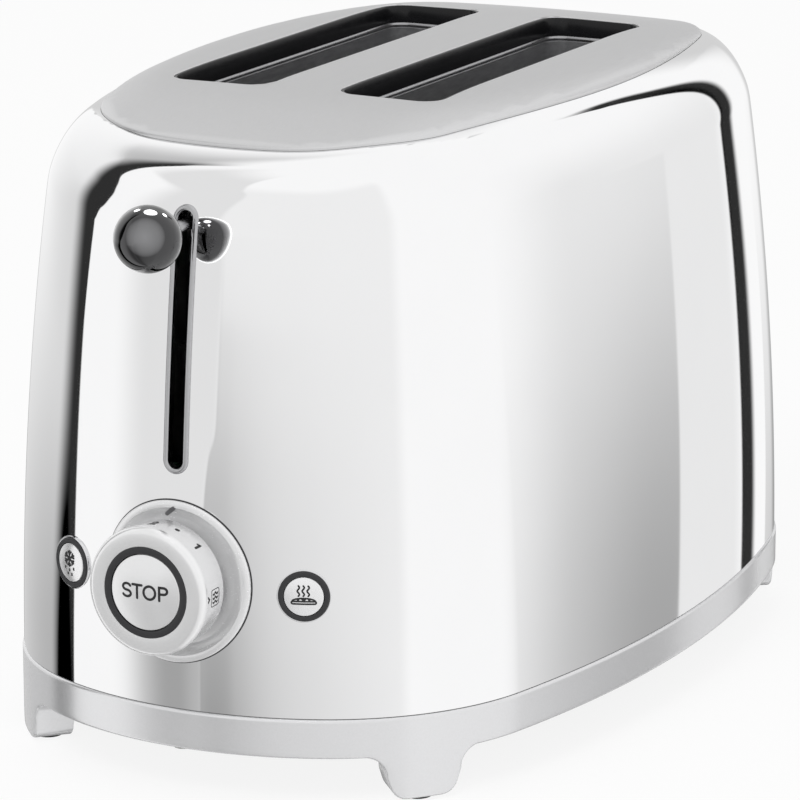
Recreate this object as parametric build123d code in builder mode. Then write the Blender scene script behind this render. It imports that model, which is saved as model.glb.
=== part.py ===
"""Two-slot retro toaster, built piece by piece in millimetres.

The table is at Z = 0 and +Z is up. The lever, the dial and the buttons are on the end that
faces -Y, and the crumb tray pulls out at the +Y end. X = 0 is the middle plane between the two
bread slots. The origin is under the middle of the whole toaster, ball knob and tray lip included.
"""

import os
from itertools import product
from math import asin, atan2, cos, degrees, hypot, radians, sin, sqrt

from build123d import *

os.makedirs("parts", exist_ok=True)

# Casing: a bellied steel shell between the skirt and the top plate
height = 193.4
seam_z = 26.0
half_width = 92.3
half_length = 150.2
corner_radius = 71.2
corner_side_inset = 80.0
end_radius = 100.6
sheet = 0.9
side_lean_radius = 1340.0
side_upright_z = 10.0
end_lean_radius = 976.0
end_upright_z = 26.0
side_shoulder = 28.0
end_shoulder = 24.0

# Top plate: a crowned sheet that closes the casing, pressed flat in a field round the bread slots
plate_side_inset = 22.5
plate_end_inset = 27.7
plate_corner_radius = 48.0
plate_corner_side_inset = 59.1
plate_end_radius = 130.1
plate_sheet = 1.0
crown_radius = 615.0
crown_rise = 4.6
flat_half_width = 38.0
flat_drop = 0.5
roll_radius = 72.5
plate_ledge = 4.0
plate_seat_gap = 0.1
plate_seat_depth = 2.6

# Bread slots and their liners
slot_centre = 28.0
slot_half_width = 16.8
slot_half_length = 73.0
slot_corner = 7.0
liner_wall = 0.8
liner_depth = 6.4
liner_flange = 4.0
liner_gap = 0.15
liner_recess = 0.3
collar_bead = 1.6
collar_bead_width = 1.3
collar_depth = 19.0

# Skirt with its four feet, and the base that it holds
skirt_grow = 0.5
skirt_bottom_z = 14.3
skirt_wall = 2.4
upstand_wall = 1.6
upstand_height = 4.0
upstand_gap = 0.2
ledge_width = 6.0
ledge_sheet = 1.8
base_sheet = 2.0
base_gap = 0.3
base_rise = 0.5
foot_angle = 40.6
foot_depth = 12.0
foot_toe = 9.0
foot_waist = 11.3
foot_flare = 6.8
foot_round = 1.5
pad_height = 1.5
pad_half_width = 7.6
pad_half_depth = 4.2
vent_length = 30.0
vent_width = 3.0
vent_pitch = 9.0
vent_row_pitch = 38.0
vent_columns = 7
vent_rows = 4
hook_y = 100.0
hook_half_width = 13.0
hook_drop = 8.0
hook_round = 3.2

# Crumb tray
tray_half_width = 49.6
tray_height = 5.6
tray_sheet = 0.8
tray_gap = 0.4
tray_handle_sheet = 3.0
tray_lip_reach = 3.5
tray_lip_half_width = 22.0
tray_lip_height = 2.2
runner_half_width = 1.5
runner_x = 40.0
tray_front_gap = 2.0

# Lever, carriage and bread racks
lever_drop = 27.9
slot_foot_gap = 7.65
lever_standoff = 20.9
knob_radius = 9.6
stem_radius = 1.8
stem_play = 2.2
lever_slot_width = 4.7
trim_rim = 1.65
trim_collar = 0.8
trim_proud = 0.8
trim_depth = 2.2
rack_drop = 81.4
rack_height = 8.0
rack_sheet = 1.2
tooth_reach = 7.6
tooth_radius = 1.0
tooth_pitch = 15.0
carriage_sheet = 1.2
carriage_gap = 8.0
tongue_half_width = 6.0
shelf_z = 20.0
rod_radius = 2.0
rod_spacing = 40.0
rod_running_gap = 0.05
collar_gap = 0.1
bush_wall = 2.0
bush_height = 16.0
spring_wire = 0.8
spring_turns = 12
spring_gap = 1.2

# Heating chamber
chamber_margin = 15.0
bulkhead_sheet = 1.2
bulkhead_drop = 16.4
bulkhead_half_width = 60.5
bulkhead_chamfer = 8.0
guide_wire = 1.6
guide_rail = 2.0
guide_clear = 0.2
guide_travel = 8.0
guide_pitch = 20.0
guide_low_z = 58.0
guide_drop = 27.4
guide_overhang = 2.0
slide_gap = 0.4
board_gap = 2.6
board_sheet = 1.0
board_low_z = 46.0
board_drop = 35.4
wire_strip = 1.6
wire_sheet = 0.3
wire_runs = 13
wire_margin = 8.0
shield_gap = 6.0
shield_sheet = 0.8
shield_low_z = 30.0

# Dial with its stop button
dial_z = 64.6
dial_standoff = 16.2
dial_radius = 18.5
dial_back_radius = 18.1
dial_length = 12.8
dial_round = 1.9
dial_cap_radius = 18.9
dial_cap_length = 2.6
hub_radius = 9.5
hub_running_gap = 0.1
hub_hole_gap = 1.5
hub_length = 12.0
bezel_radius = 23.9
bezel_front = 1.8
bezel_land = 1.6
bezel_dish = 1.4
bezel_depth = 6.0
dial_dish_gap = 1.2
stop_ring_radius = 13.3
stop_ring_proud = 0.2
stop_radius = 11.1
stop_gap = 0.2
stop_proud = 0.9
stop_crown = 60.0
stop_travel = 2.0
stop_skirt = 3.0
plunger_radius = 2.5

# Defrost and bagel buttons
button_x = 38.0
button_z = 62.4
button_radius = 5.7
button_ring_radius = 7.35
button_gap = 0.15
button_collar = 0.6
button_skirt = 2.4
button_back = 1.2
button_proud = 1.3
button_ring_proud = 0.8
button_crown = 30.0
button_hole_reach = 11.0
button_travel = 1.6
button_reach = 13.0
switch_half = 3.4
switch_length = 3.6
switch_gap = 0.3
switch_block_x = 31.8
switch_block_height = 3.0

# Control board, magnet and wiring pieces behind the control end
board_y_gap = 26.5
board_half_width = 48.0
control_low_z = 36.0
control_high_z = 90.0
control_sheet = 1.6
spacer_radius = 3.0
corner_margin = 6.0
pot_radius = 12.0
pot_bore = 5.4
screw_radius = 1.5
screw_gap = 0.1
screw_head_radius = 2.8
screw_head_height = 1.6
screw_length = 8.0
magnet_half_width = 7.0
magnet_half_depth = 5.0
pole_half_width = 2.2
yoke_height = 3.0
magnet_gap = 0.3
armature_half_width = 9.0
armature_sheet = 3.0
coil_wall = 2.2
coil_drop = 0.8
gland_radius = 6.5
gland_bore = 3.6
gland_side_inset = 34.3
gland_end_inset = 53.2
gland_flange = 2.0
terminal_side_inset = 50.3
terminal_gap = 2.8
terminal_half_width = 6.0
terminal_half_length = 10.0
terminal_height = 11.0
terminal_pitch = 6.5


def meeting_point(centre_a, reach_a, centre_b, reach_b):
    """Point at one reach from each centre, on the left of the way from a to b."""
    apart = hypot(centre_b[0] - centre_a[0], centre_b[1] - centre_a[1])
    along = (apart**2 + reach_a**2 - reach_b**2) / (2 * apart)
    aside = sqrt(reach_a**2 - along**2)
    way_x = (centre_b[0] - centre_a[0]) / apart
    way_y = (centre_b[1] - centre_a[1]) / apart
    return (
        centre_a[0] + along * way_x - aside * way_y,
        centre_a[1] + along * way_y + aside * way_x,
    )


def corner_depth(end_r, corner_r, corner_x):
    """How far the centre of a corner arc stands in from the end that it runs into."""
    return end_r - sqrt((end_r - corner_r) ** 2 - corner_x**2)


# Places that the sizes above set
plate_half_width = half_width - plate_side_inset
plate_half_length = half_length - plate_end_inset
corner_end_inset = corner_depth(end_radius, corner_radius, half_width - corner_side_inset)
plate_corner_end_inset = corner_depth(
    plate_end_radius, plate_corner_radius, plate_half_width - plate_corner_side_inset
)
crown_apex = height + crown_rise
lever_z = height - lever_drop
lever_slot_top = lever_z + stem_radius + stem_play
lever_slot_bottom = dial_z + bezel_radius + slot_foot_gap
lever_travel = lever_slot_top - lever_slot_bottom - 2 * (stem_radius + stem_play)
rack_z = height - rack_drop
guide_high_z = height - guide_drop
board_high_z = height - board_drop
gland_x = half_width - gland_side_inset
gland_y = half_length - gland_end_inset
terminal_x = half_width - terminal_side_inset


# Shoulder arcs: each starts tangent to the leaning wall and ends at the rim of the top plate
def plate_drop_side(x):
    """How far the plate has rolled down at a distance x from its middle line."""
    if abs(x) <= flat_half_width:
        return flat_drop * (x / flat_half_width) ** 2
    start = asin(roll_start_slope)
    reach = (abs(x) - flat_half_width) / roll_radius + sin(start)
    return flat_drop + roll_radius * (cos(start) - sqrt(1 - reach**2))


roll_start_slope = 2 * flat_half_width * flat_drop / (flat_half_width**2 + flat_drop**2)
side_rim_z = crown_apex - plate_sheet - plate_drop_side(plate_half_width)
end_rim_z = crown_apex - plate_sheet - crown_radius + sqrt(crown_radius**2 - plate_half_length**2)

side_lean_start = side_lean_radius - sqrt(side_lean_radius**2 - (seam_z - side_upright_z) ** 2)
end_lean_start = end_lean_radius - sqrt(end_lean_radius**2 - (seam_z - end_upright_z) ** 2)
side_lean_centre = (side_lean_radius - side_lean_start, side_upright_z)
end_lean_centre = (end_lean_radius - end_lean_start, end_upright_z)
side_centre = meeting_point(
    side_lean_centre, side_lean_radius - side_shoulder, (plate_side_inset, side_rim_z), side_shoulder
)
end_centre = meeting_point(
    end_lean_centre, end_lean_radius - end_shoulder, (plate_end_inset, end_rim_z), end_shoulder
)


def wall_inset(z, depth, lean_centre, lean_radius, shoulder_centre, shoulder_radius):
    """How far the casing wall stands in from its foot line at height z."""
    lean_angle = atan2(shoulder_centre[1] - lean_centre[1], lean_centre[0] - shoulder_centre[0])
    tangent_z = lean_centre[1] + (lean_radius - depth) * sin(lean_angle)
    if z <= tangent_z:
        return lean_centre[0] - sqrt((lean_radius - depth) ** 2 - (z - lean_centre[1]) ** 2)
    return shoulder_centre[0] - sqrt((shoulder_radius - depth) ** 2 - (z - shoulder_centre[1]) ** 2)


def end_inset(z, depth=0.0):
    """Inset of the two ends. Above the rim of the plate it follows the crown."""
    rim_z = end_rim_z - depth
    if z <= rim_z:
        return wall_inset(z, depth, end_lean_centre, end_lean_radius, end_centre, end_shoulder)
    crown = crown_radius - plate_sheet - depth
    return half_length - sqrt(crown**2 - (z - crown_apex + crown_radius) ** 2)


def side_inset(z, depth=0.0):
    """Inset of the two long sides."""
    return wall_inset(z, depth, side_lean_centre, side_lean_radius, side_centre, side_shoulder)


def end_face(z):
    """Y of the casing's control end at height z, from the casing's middle."""
    return end_inset(z) - half_length


knob_y = end_face(lever_z) - lever_standoff
front_reach = knob_radius - knob_y
rear_reach = half_length + skirt_grow + tray_lip_reach
mid = (front_reach - rear_reach) / 2


def level(z):
    """Level plane at height z, over the casing's middle."""
    return Plane(origin=(0, mid, z))


def facing(y, z=0.0):
    """Upright plane across the toaster, looking out at the control end."""
    return Plane(origin=(0, mid + y, z), x_dir=(1, 0, 0), z_dir=(0, -1, 0))


def beside(x):
    """Upright plane along the toaster: its own x is Y, its own y is Z."""
    return Plane(origin=(x, mid, 0), x_dir=(0, 1, 0), z_dir=(1, 0, 0))


def turning(x, y, z, angle=0.0):
    """Plane through a turned piece: its own y runs out of the casing along the piece's axis."""
    side = (cos(radians(angle)), sin(radians(angle)), 0)
    return Plane(origin=(x, mid + y, z), x_dir=side, z_dir=(0, 0, -1))


def keep(piece, name):
    """Label a finished piece and write it."""
    piece.part.label = name
    export_step(piece.part, f"parts/{name}.step")


casing_size = (half_width, half_length, corner_side_inset, corner_end_inset, corner_radius)
plate_size = (
    plate_half_width,
    plate_half_length,
    plate_corner_side_inset,
    plate_corner_end_inset,
    plate_corner_radius,
)


def size_at(z, depth=0.0):
    """Plan size of the casing at height z, sunk by depth under its face."""
    inset = side_inset(z, depth)
    share = (inset - side_inset(seam_z, depth)) / plate_side_inset
    corner = [a + (b - a) * share - depth for a, b in zip(casing_size[2:], plate_size[2:])]
    return (half_width - inset, half_length - end_inset(z, depth), *corner)


def plan_arcs(size):
    """Corner centre, and the side and end radii whose arcs run into the corner arc."""
    half_w, half_l, corner_x, corner_y, corner_r = size
    corner = (half_w - corner_x, half_l - corner_y)
    side_r = (corner_x**2 + corner[1] ** 2 - corner_r**2) / (2 * (corner_x - corner_r))
    end_r = (corner[0] ** 2 + corner_y**2 - corner_r**2) / (2 * (corner_y - corner_r))
    return corner, side_r, end_r


def plan(size, grow=0.0):
    """Plan outline of eight arcs that run into each other, grown or shrunk evenly."""
    grown = [length + grow for length in size]
    corner, side_r, end_r = plan_arcs(grown)
    corner_r = grown[4]
    side_x = grown[0] - side_r
    end_y = grown[1] - end_r
    low = degrees(atan2(corner[1], corner[0] - side_x))
    high = degrees(atan2(corner[1] - end_y, corner[0]))
    with BuildSketch() as face:
        with BuildLine():
            CenterArc((side_x, 0), side_r, -low, 2 * low)
            CenterArc(corner, corner_r, low, high - low)
            CenterArc((0, end_y), end_r, high, 180 - 2 * high)
            CenterArc((-corner[0], corner[1]), corner_r, 180 - high, high - low)
            CenterArc((-side_x, 0), side_r, 180 - low, 2 * low)
            CenterArc((-corner[0], -corner[1]), corner_r, 180 + low, high - low)
            CenterArc((0, -end_y), end_r, 180 + high, 180 - 2 * high)
            CenterArc((corner[0], -corner[1]), corner_r, -high, high - low)
        make_face()
    return face.sketch


wall_steps = 4
shoulder_steps = 7
rim_angle = atan2(side_rim_z - side_centre[1], side_centre[0] - plate_side_inset)
tangent_angle = atan2(side_centre[1] - side_lean_centre[1], side_lean_centre[0] - side_centre[0])


def body(depth=0.0):
    """Solid casing form, sunk by depth under the outer face all round."""
    shoulder_start = side_centre[1] + (side_shoulder - depth) * sin(tangent_angle)
    heights = [seam_z + (shoulder_start - seam_z) * step / wall_steps for step in range(wall_steps)]
    for step in range(shoulder_steps + 1):
        angle = tangent_angle + (rim_angle - tangent_angle) * step / shoulder_steps
        heights.append(side_centre[1] + (side_shoulder - depth) * sin(angle))
    with BuildPart() as form:
        for z in heights:
            with BuildSketch(level(z)):
                add(plan(size_at(z, depth)))
        loft(ruled=True)
    return form.part


def crown(drop):
    """Block under the crowned top face with its flat field, lowered by drop."""
    spread = degrees(asin((plate_half_length + plate_ledge) / (crown_radius - height / 2)))
    axis_z = crown_apex - crown_radius
    top = crown_radius - drop
    roll_turn = degrees(asin((plate_half_width - flat_half_width + plate_ledge) / roll_radius))
    start = Plane(origin=(0, mid, axis_z), x_dir=(1, 0, 0), z_dir=(0, -1, 0)).rotated((-spread, 0, 0))
    with BuildPart() as block:
        with BuildSketch(start):
            with BuildLine():
                middle = ThreePointArc(
                    (-flat_half_width, top - flat_drop), (0, top), (flat_half_width, top - flat_drop)
                )
                right = JernArc(middle @ 1, middle % 1, roll_radius, -roll_turn)
                left = JernArc(middle @ 0, -(middle % 0), roll_radius, roll_turn)
                low = top - height / 2
                Polyline(right @ 1, ((right @ 1).X, low), ((left @ 1).X, low), left @ 1)
            make_face()
        revolve(axis=Axis((0, mid, axis_z), (1, 0, 0)), revolution_arc=2 * spread)
        split(bisect_by=level(height - drop), keep=Keep.BOTTOM)
    return block.part


def slot_face(x, grow=0.0):
    """Rounded outline of one bread slot."""
    with BuildSketch() as face:
        with Locations((x, 0)):
            RectangleRounded(
                2 * (slot_half_width + grow), 2 * (slot_half_length + grow), slot_corner + grow
            )
    return face.sketch


def lever_slot(grow):
    """Upright slot with round ends, seen from the control end."""
    with BuildSketch() as face:
        with Locations((0, lever_slot_middle)):
            SlotOverall(lever_slot_height + 2 * grow, lever_slot_width + 2 * grow, rotation=90)
    return face.sketch


outer_form = body()
inner_form = body(sheet)
crown_top = crown(0.0)
crown_under = crown(plate_sheet)

# Places that several pieces share
base_bottom = skirt_bottom_z + base_rise
base_top = base_bottom + base_sheet
ledge_top = base_top + ledge_sheet
tray_low = ledge_top + tray_gap
lever_slot_middle = (lever_slot_top + lever_slot_bottom) / 2
lever_slot_height = lever_slot_top - lever_slot_bottom
dial_face_y = end_face(dial_z)
button_size = size_at(button_z)
button_arc = plan_arcs(button_size)[2]
button_angle = degrees(asin(button_x / button_arc))
button_y = button_arc - button_size[1] - button_arc * cos(radians(button_angle))
guide_offset = slot_half_width + guide_rail / 2 - guide_clear
board_offset = guide_offset + guide_rail / 2 + board_gap
shield_x = slot_centre + board_offset + board_sheet + shield_gap
chamber_half = slot_half_length + chamber_margin
bulkhead_face = chamber_half + bulkhead_sheet
terminal_y = bulkhead_face + terminal_gap + terminal_half_length
bulkhead_top = height - bulkhead_drop
carriage_back = -bulkhead_face - carriage_gap
carriage_front = carriage_back - carriage_sheet
bush_radius = rod_radius + rod_running_gap + bush_wall
rod_y = carriage_front - bush_radius + carriage_sheet / 2
carriage_low = rack_z - bush_height / 2
carriage_high = rack_z + bush_height / 2
board_front = dial_face_y + board_y_gap
board_back = board_front + control_sheet
sides = {"left": -1, "right": 1}

screw_inset = skirt_grow - skirt_wall - ledge_width / 2
screw_x = half_width + screw_inset
screw_y = half_length + screw_inset
screw_places = [(-screw_x, 0), (screw_x, 0), (0, -screw_y), (0, screw_y)]

# Casing: pressed steel shell, open below, with openings for the plate, the lever and the controls
button_hole = button_radius + button_gap + button_collar + collar_gap
with BuildPart() as over_plate:
    with BuildSketch(level(lever_z)):
        add(plan(plate_size, plate_seat_gap))
    extrude(amount=height - lever_z + plate_ledge)
    add(crown_under, mode=Mode.SUBTRACT)
with BuildPart() as plate_seat:
    add(crown_under)
    with BuildSketch(level(lever_z)):
        add(plan(plate_size, plate_seat_gap))
        add(plan(plate_size, -plate_ledge), mode=Mode.SUBTRACT)
    extrude(amount=height, mode=Mode.INTERSECT)
    add(crown(plate_sheet + plate_seat_depth), mode=Mode.SUBTRACT)
with BuildPart() as casing:
    add(outer_form)
    add(inner_form, mode=Mode.SUBTRACT)
    with BuildSketch(level(lever_z)):
        add(plan(plate_size, -plate_ledge))
    extrude(amount=height, mode=Mode.SUBTRACT)
    with BuildSketch(facing(0)):
        add(lever_slot(trim_collar + collar_gap))
    with BuildSketch(facing(0, dial_z)):
        Circle(hub_radius + hub_hole_gap)
    extrude(amount=half_length, mode=Mode.SUBTRACT)
    for side in sides.values():
        out = turning(0, 0, 0, side * button_angle).y_dir
        with BuildSketch(Plane(origin=(side * button_x, mid + button_y, button_z), z_dir=out)):
            Circle(button_hole)
    extrude(amount=button_hole_reach, both=True, mode=Mode.SUBTRACT)
    add(over_plate.part, mode=Mode.SUBTRACT)
    add(plate_seat.part)
keep(casing, "casing")

# Top plate: crowned stainless sheet with the two bread slots
with BuildPart() as top_plate:
    add(crown_top)
    with BuildSketch(level(0)):
        add(plan(plate_size))
        for side in sides.values():
            add(slot_face(side * slot_centre), mode=Mode.SUBTRACT)
    extrude(amount=height + plate_ledge, mode=Mode.INTERSECT)
    add(crown_under, mode=Mode.SUBTRACT)
keep(top_plate, "top_plate")

# Slot liners: black collars that hang in the bread slots from a flange under the plate
liner_low = height - liner_depth
crown_collar = crown(liner_recess)
crown_flange = crown(plate_sheet + liner_wall)
for name, side in sides.items():
    x = side * slot_centre
    with BuildPart() as collar:
        add(crown_collar)
        with BuildSketch(level(liner_low)):
            add(slot_face(x, -liner_gap))
            add(slot_face(x, -liner_gap - liner_wall), mode=Mode.SUBTRACT)
        extrude(amount=height, mode=Mode.INTERSECT)
    with BuildPart() as flange:
        add(crown_under)
        with BuildSketch(level(liner_low)):
            add(slot_face(x, liner_flange))
            add(slot_face(x, -liner_gap - liner_wall), mode=Mode.SUBTRACT)
        extrude(amount=height, mode=Mode.INTERSECT)
        add(crown_flange, mode=Mode.SUBTRACT)
    with BuildPart() as slot_liner:
        add(collar.part)
        add(flange.part)
    keep(slot_liner, f"slot_liner_{name}")

    # Chamber collar: steel sheet under the liner, with its top edge rolled into a bead
    with BuildPart() as chamber_collar:
        with BuildSketch(level(liner_low - collar_depth)):
            add(slot_face(x, -liner_gap))
            add(slot_face(x, -liner_gap - liner_wall), mode=Mode.SUBTRACT)
        extrude(amount=collar_depth)
        with BuildSketch(level(liner_low - collar_bead)):
            add(slot_face(x, -liner_gap))
            add(slot_face(x, -liner_gap - collar_bead_width), mode=Mode.SUBTRACT)
        extrude(amount=collar_bead)
    keep(chamber_collar, f"chamber_collar_{name}")

# Skirt: cast ring under the casing, with a ledge inside and a foot at each corner
skirt_size = [length + skirt_grow for length in casing_size]
skirt_corner = plan_arcs(skirt_size)[0]
foot_way = (cos(radians(foot_angle)), sin(radians(foot_angle)))
foot_point = (
    skirt_corner[0] + skirt_size[4] * foot_way[0],
    skirt_corner[1] + skirt_size[4] * foot_way[1],
)


def foot_plane(side, end):
    """Upright plane on the skirt at one foot: its own x runs round the skirt, its y is Z."""
    out = (side * foot_way[0], end * foot_way[1], 0)
    place = (side * foot_point[0], mid + end * foot_point[1], 0)
    return Plane(origin=place, x_dir=(-out[1], out[0], 0), z_dir=out)


foot_planes = [foot_plane(side, end) for side, end in product((1, -1), (1, -1))]
flare_low = skirt_bottom_z - foot_flare
with BuildPart() as base_skirt:
    for place in foot_planes:
        with BuildSketch(place):
            with BuildLine():
                Polyline(
                    (0, base_bottom),
                    (0, pad_height),
                    (foot_toe, pad_height),
                    (foot_waist, flare_low),
                )
                ThreePointArc(
                    (foot_waist, flare_low),
                    (
                        foot_waist + foot_flare * (1 - cos(radians(45))),
                        flare_low + foot_flare * sin(radians(45)),
                    ),
                    (foot_waist + foot_flare, skirt_bottom_z),
                )
                Polyline(
                    (foot_waist + foot_flare, skirt_bottom_z),
                    (foot_waist + foot_flare, base_bottom),
                    (0, base_bottom),
                )
                mirror(about=Plane.YZ)
            make_face()
    extrude(amount=foot_depth, both=True)
    with BuildSketch(level(0)):
        add(plan(casing_size, skirt_grow))
    extrude(amount=height, mode=Mode.INTERSECT)
    with BuildSketch(level(skirt_bottom_z)):
        add(plan(casing_size, skirt_grow))
        add(plan(casing_size, skirt_grow - skirt_wall), mode=Mode.SUBTRACT)
    extrude(amount=seam_z - skirt_bottom_z)
    with BuildSketch(level(base_top)):
        add(plan(casing_size, skirt_grow))
        add(plan(casing_size, skirt_grow - skirt_wall - ledge_width), mode=Mode.SUBTRACT)
    extrude(amount=ledge_sheet)
    with BuildSketch(level(base_top)):
        add(plan(casing_size, -sheet - upstand_gap))
        add(plan(casing_size, -sheet - upstand_gap - upstand_wall), mode=Mode.SUBTRACT)
    extrude(amount=seam_z + upstand_height - base_top)
    with BuildSketch(level(ledge_top)):
        with Locations((0, half_length)):
            Rectangle(2 * (tray_half_width + tray_gap), half_length)
    extrude(amount=tray_height + 2 * tray_gap, mode=Mode.SUBTRACT)
    with BuildSketch(level(skirt_bottom_z)):
        with Locations(*screw_places):
            Circle(screw_radius + screw_gap)
    extrude(amount=ledge_top - skirt_bottom_z, mode=Mode.SUBTRACT)
keep(base_skirt, "base_skirt")

# Base plate: black moulding inside the skirt, with vents, tray runners and two cord hooks below
with BuildPart() as base_plate:
    with BuildSketch(level(base_bottom)):
        add(plan(casing_size, skirt_grow - skirt_wall - base_gap))
        with Locations(*screw_places):
            Circle(screw_radius + screw_gap, mode=Mode.SUBTRACT)
        with GridLocations(vent_pitch, vent_row_pitch, vent_columns, vent_rows):
            SlotOverall(vent_length, vent_width, rotation=90, mode=Mode.SUBTRACT)
        with Locations((gland_x, gland_y)):
            Circle(gland_radius, mode=Mode.SUBTRACT)
    extrude(amount=base_sheet)
    with BuildSketch(level(base_top)):
        with Locations((-runner_x, 0), (runner_x, 0)):
            Rectangle(2 * runner_half_width, 2 * chamber_half)
    extrude(amount=tray_low - tray_gap / 2 - base_top)
    with BuildSketch(level(base_bottom)):
        with Locations((0, -hook_y), (0, hook_y)):
            Rectangle(hook_half_width, hook_half_width)
    extrude(amount=-hook_drop)
    with BuildSketch(level(base_bottom - hook_drop)):
        with Locations((0, -hook_y), (0, hook_y)):
            RectangleRounded(2 * hook_half_width, 2 * hook_half_width, hook_round)
    extrude(amount=base_sheet)
keep(base_plate, "base_plate")

# Feet pads: four rubber blocks under the feet
with BuildPart() as foot_pads:
    for place in foot_planes:
        with BuildSketch(Plane(origin=place.origin, x_dir=place.x_dir, z_dir=(0, 0, 1))):
            with Locations((0, foot_depth / 2)):
                RectangleRounded(2 * pad_half_width, 2 * pad_half_depth, foot_round)
    extrude(amount=pad_height)
keep(foot_pads, "foot_pads")

# Base screws: four, from below, into the ledge of the skirt
with BuildPart() as base_screws:
    with BuildSketch(level(base_bottom - screw_head_height)):
        with Locations(*screw_places):
            Circle(screw_head_radius)
    extrude(amount=screw_head_height)
    with BuildSketch(level(base_bottom)):
        with Locations(*screw_places):
            Circle(screw_radius)
    extrude(amount=ledge_top - base_bottom)
keep(base_screws, "base_screws")

# Cord gland: bush through the base plate, with a flange above and below
with BuildPart() as cord_gland:
    with BuildSketch(level(base_bottom - gland_flange)):
        with Locations((gland_x, gland_y)):
            Circle(gland_radius + gland_flange)
    extrude(amount=gland_flange)
    with BuildSketch(level(base_bottom)):
        with Locations((gland_x, gland_y)):
            Circle(gland_radius)
    extrude(amount=base_sheet + gland_flange)
    with BuildSketch(level(base_bottom - gland_flange)):
        with Locations((gland_x, gland_y)):
            Circle(gland_bore)
    extrude(amount=base_sheet + 2 * gland_flange, mode=Mode.SUBTRACT)
keep(cord_gland, "cord_gland")

# Crumb tray: open sheet tray that reaches from the lever end to its handle in the skirt
doorway_height = tray_low + tray_height + tray_gap - base_top
tray_front = -chamber_half + tray_front_gap
tray_back_grow = skirt_grow - tray_handle_sheet
with BuildPart() as crumb_tray:
    with BuildSketch(level(tray_low)):
        with Locations((0, tray_front)):
            Rectangle(2 * tray_half_width, 2 * half_length, align=(Align.CENTER, Align.MIN))
        add(plan(casing_size, tray_back_grow), mode=Mode.INTERSECT)
    extrude(amount=tray_height)
    with BuildSketch(level(tray_low + tray_sheet)):
        with Locations((0, tray_front + tray_sheet)):
            Rectangle(
                2 * (tray_half_width - tray_sheet), 2 * half_length, align=(Align.CENTER, Align.MIN)
            )
        add(plan(casing_size, tray_back_grow - tray_sheet), mode=Mode.INTERSECT)
    extrude(amount=tray_height, mode=Mode.SUBTRACT)
keep(crumb_tray, "crumb_tray")

# Tray handle: bent front that follows the skirt, with a finger lip
with BuildPart() as tray_handle:
    with BuildSketch(level(tray_low)):
        add(plan(casing_size, skirt_grow))
        add(plan(casing_size, tray_back_grow), mode=Mode.SUBTRACT)
        with Locations((0, half_length)):
            Rectangle(2 * tray_half_width, half_length, mode=Mode.INTERSECT)
    extrude(amount=tray_height)
    with BuildSketch(level(tray_low)):
        add(plan(casing_size, skirt_grow + tray_lip_reach))
        add(plan(casing_size, tray_back_grow), mode=Mode.SUBTRACT)
        with Locations((0, half_length)):
            Rectangle(2 * tray_lip_half_width, half_length, mode=Mode.INTERSECT)
    extrude(amount=tray_lip_height)
keep(tray_handle, "tray_handle")


def bulkhead_sheet_face():
    """Upright sheet with slots for the rack arms and for the rails of the bread guides."""
    slot_low = rack_z - lever_travel - rack_height / 2 - slide_gap
    slot_high = rack_z + rack_height / 2 + slide_gap
    rail_middle = guide_offset - guide_travel / 2
    with BuildSketch() as face:
        with Locations((0, (base_top + bulkhead_top) / 2)):
            blank = Rectangle(2 * bulkhead_half_width, bulkhead_top - base_top)
        chamfer(blank.vertices().group_by(Axis.Y)[-1], bulkhead_chamfer)
        with Locations(*[(x * slot_centre, (slot_low + slot_high) / 2) for x in (-1, 1)]):
            Rectangle(rack_sheet + 2 * slide_gap, slot_high - slot_low, mode=Mode.SUBTRACT)
        for centre, way, z in product((-1, 1), (-1, 1), (guide_low_z, guide_high_z)):
            with Locations((centre * slot_centre + way * rail_middle, z)):
                SlotCenterToCenter(
                    guide_travel + slide_gap, guide_rail + 2 * slide_gap, mode=Mode.SUBTRACT
                )
    return face.sketch


# Front bulkhead: steel sheet between the controls and the chamber, with two shelves for the rods
rod_places = [(-rod_spacing / 2, rod_y), (rod_spacing / 2, rod_y)]
shelf_half_width = rod_spacing / 2 + bush_radius + slide_gap
shelf_depth = -bulkhead_face - rod_y + bush_radius
with BuildPart() as front_bulkhead:
    with BuildSketch(facing(-chamber_half)):
        add(bulkhead_sheet_face())
    extrude(amount=bulkhead_sheet)
    for z in (shelf_z, bulkhead_top - bulkhead_sheet):
        with BuildSketch(level(z)):
            with Locations((0, -bulkhead_face - shelf_depth / 2)):
                Rectangle(2 * shelf_half_width, shelf_depth)
            with Locations(*rod_places):
                Circle(rod_radius + rod_running_gap, mode=Mode.SUBTRACT)
        extrude(amount=bulkhead_sheet)
keep(front_bulkhead, "front_bulkhead")

# Rear bulkhead: the same sheet at the other end, with a doorway for the tray
with BuildPart() as rear_bulkhead:
    with BuildSketch(facing(bulkhead_face)):
        add(bulkhead_sheet_face())
        with Locations((0, base_top)):
            Rectangle(2 * (tray_half_width + tray_gap), 2 * doorway_height, mode=Mode.SUBTRACT)
    extrude(amount=bulkhead_sheet)
keep(rear_bulkhead, "rear_bulkhead")

# Heat shields: polished sheets outside the outer elements and between the inner ones
shield_places = {"side_shield_left": -shield_x, "centre_shield": 0, "side_shield_right": shield_x}
for name, x in shield_places.items():
    with BuildPart() as shield:
        with BuildSketch(beside(x)):
            with Locations((0, (shield_low_z + board_high_z) / 2)):
                Rectangle(2 * chamber_half, board_high_z - shield_low_z)
        extrude(amount=shield_sheet / 2, both=True)
    keep(shield, name)

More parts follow.
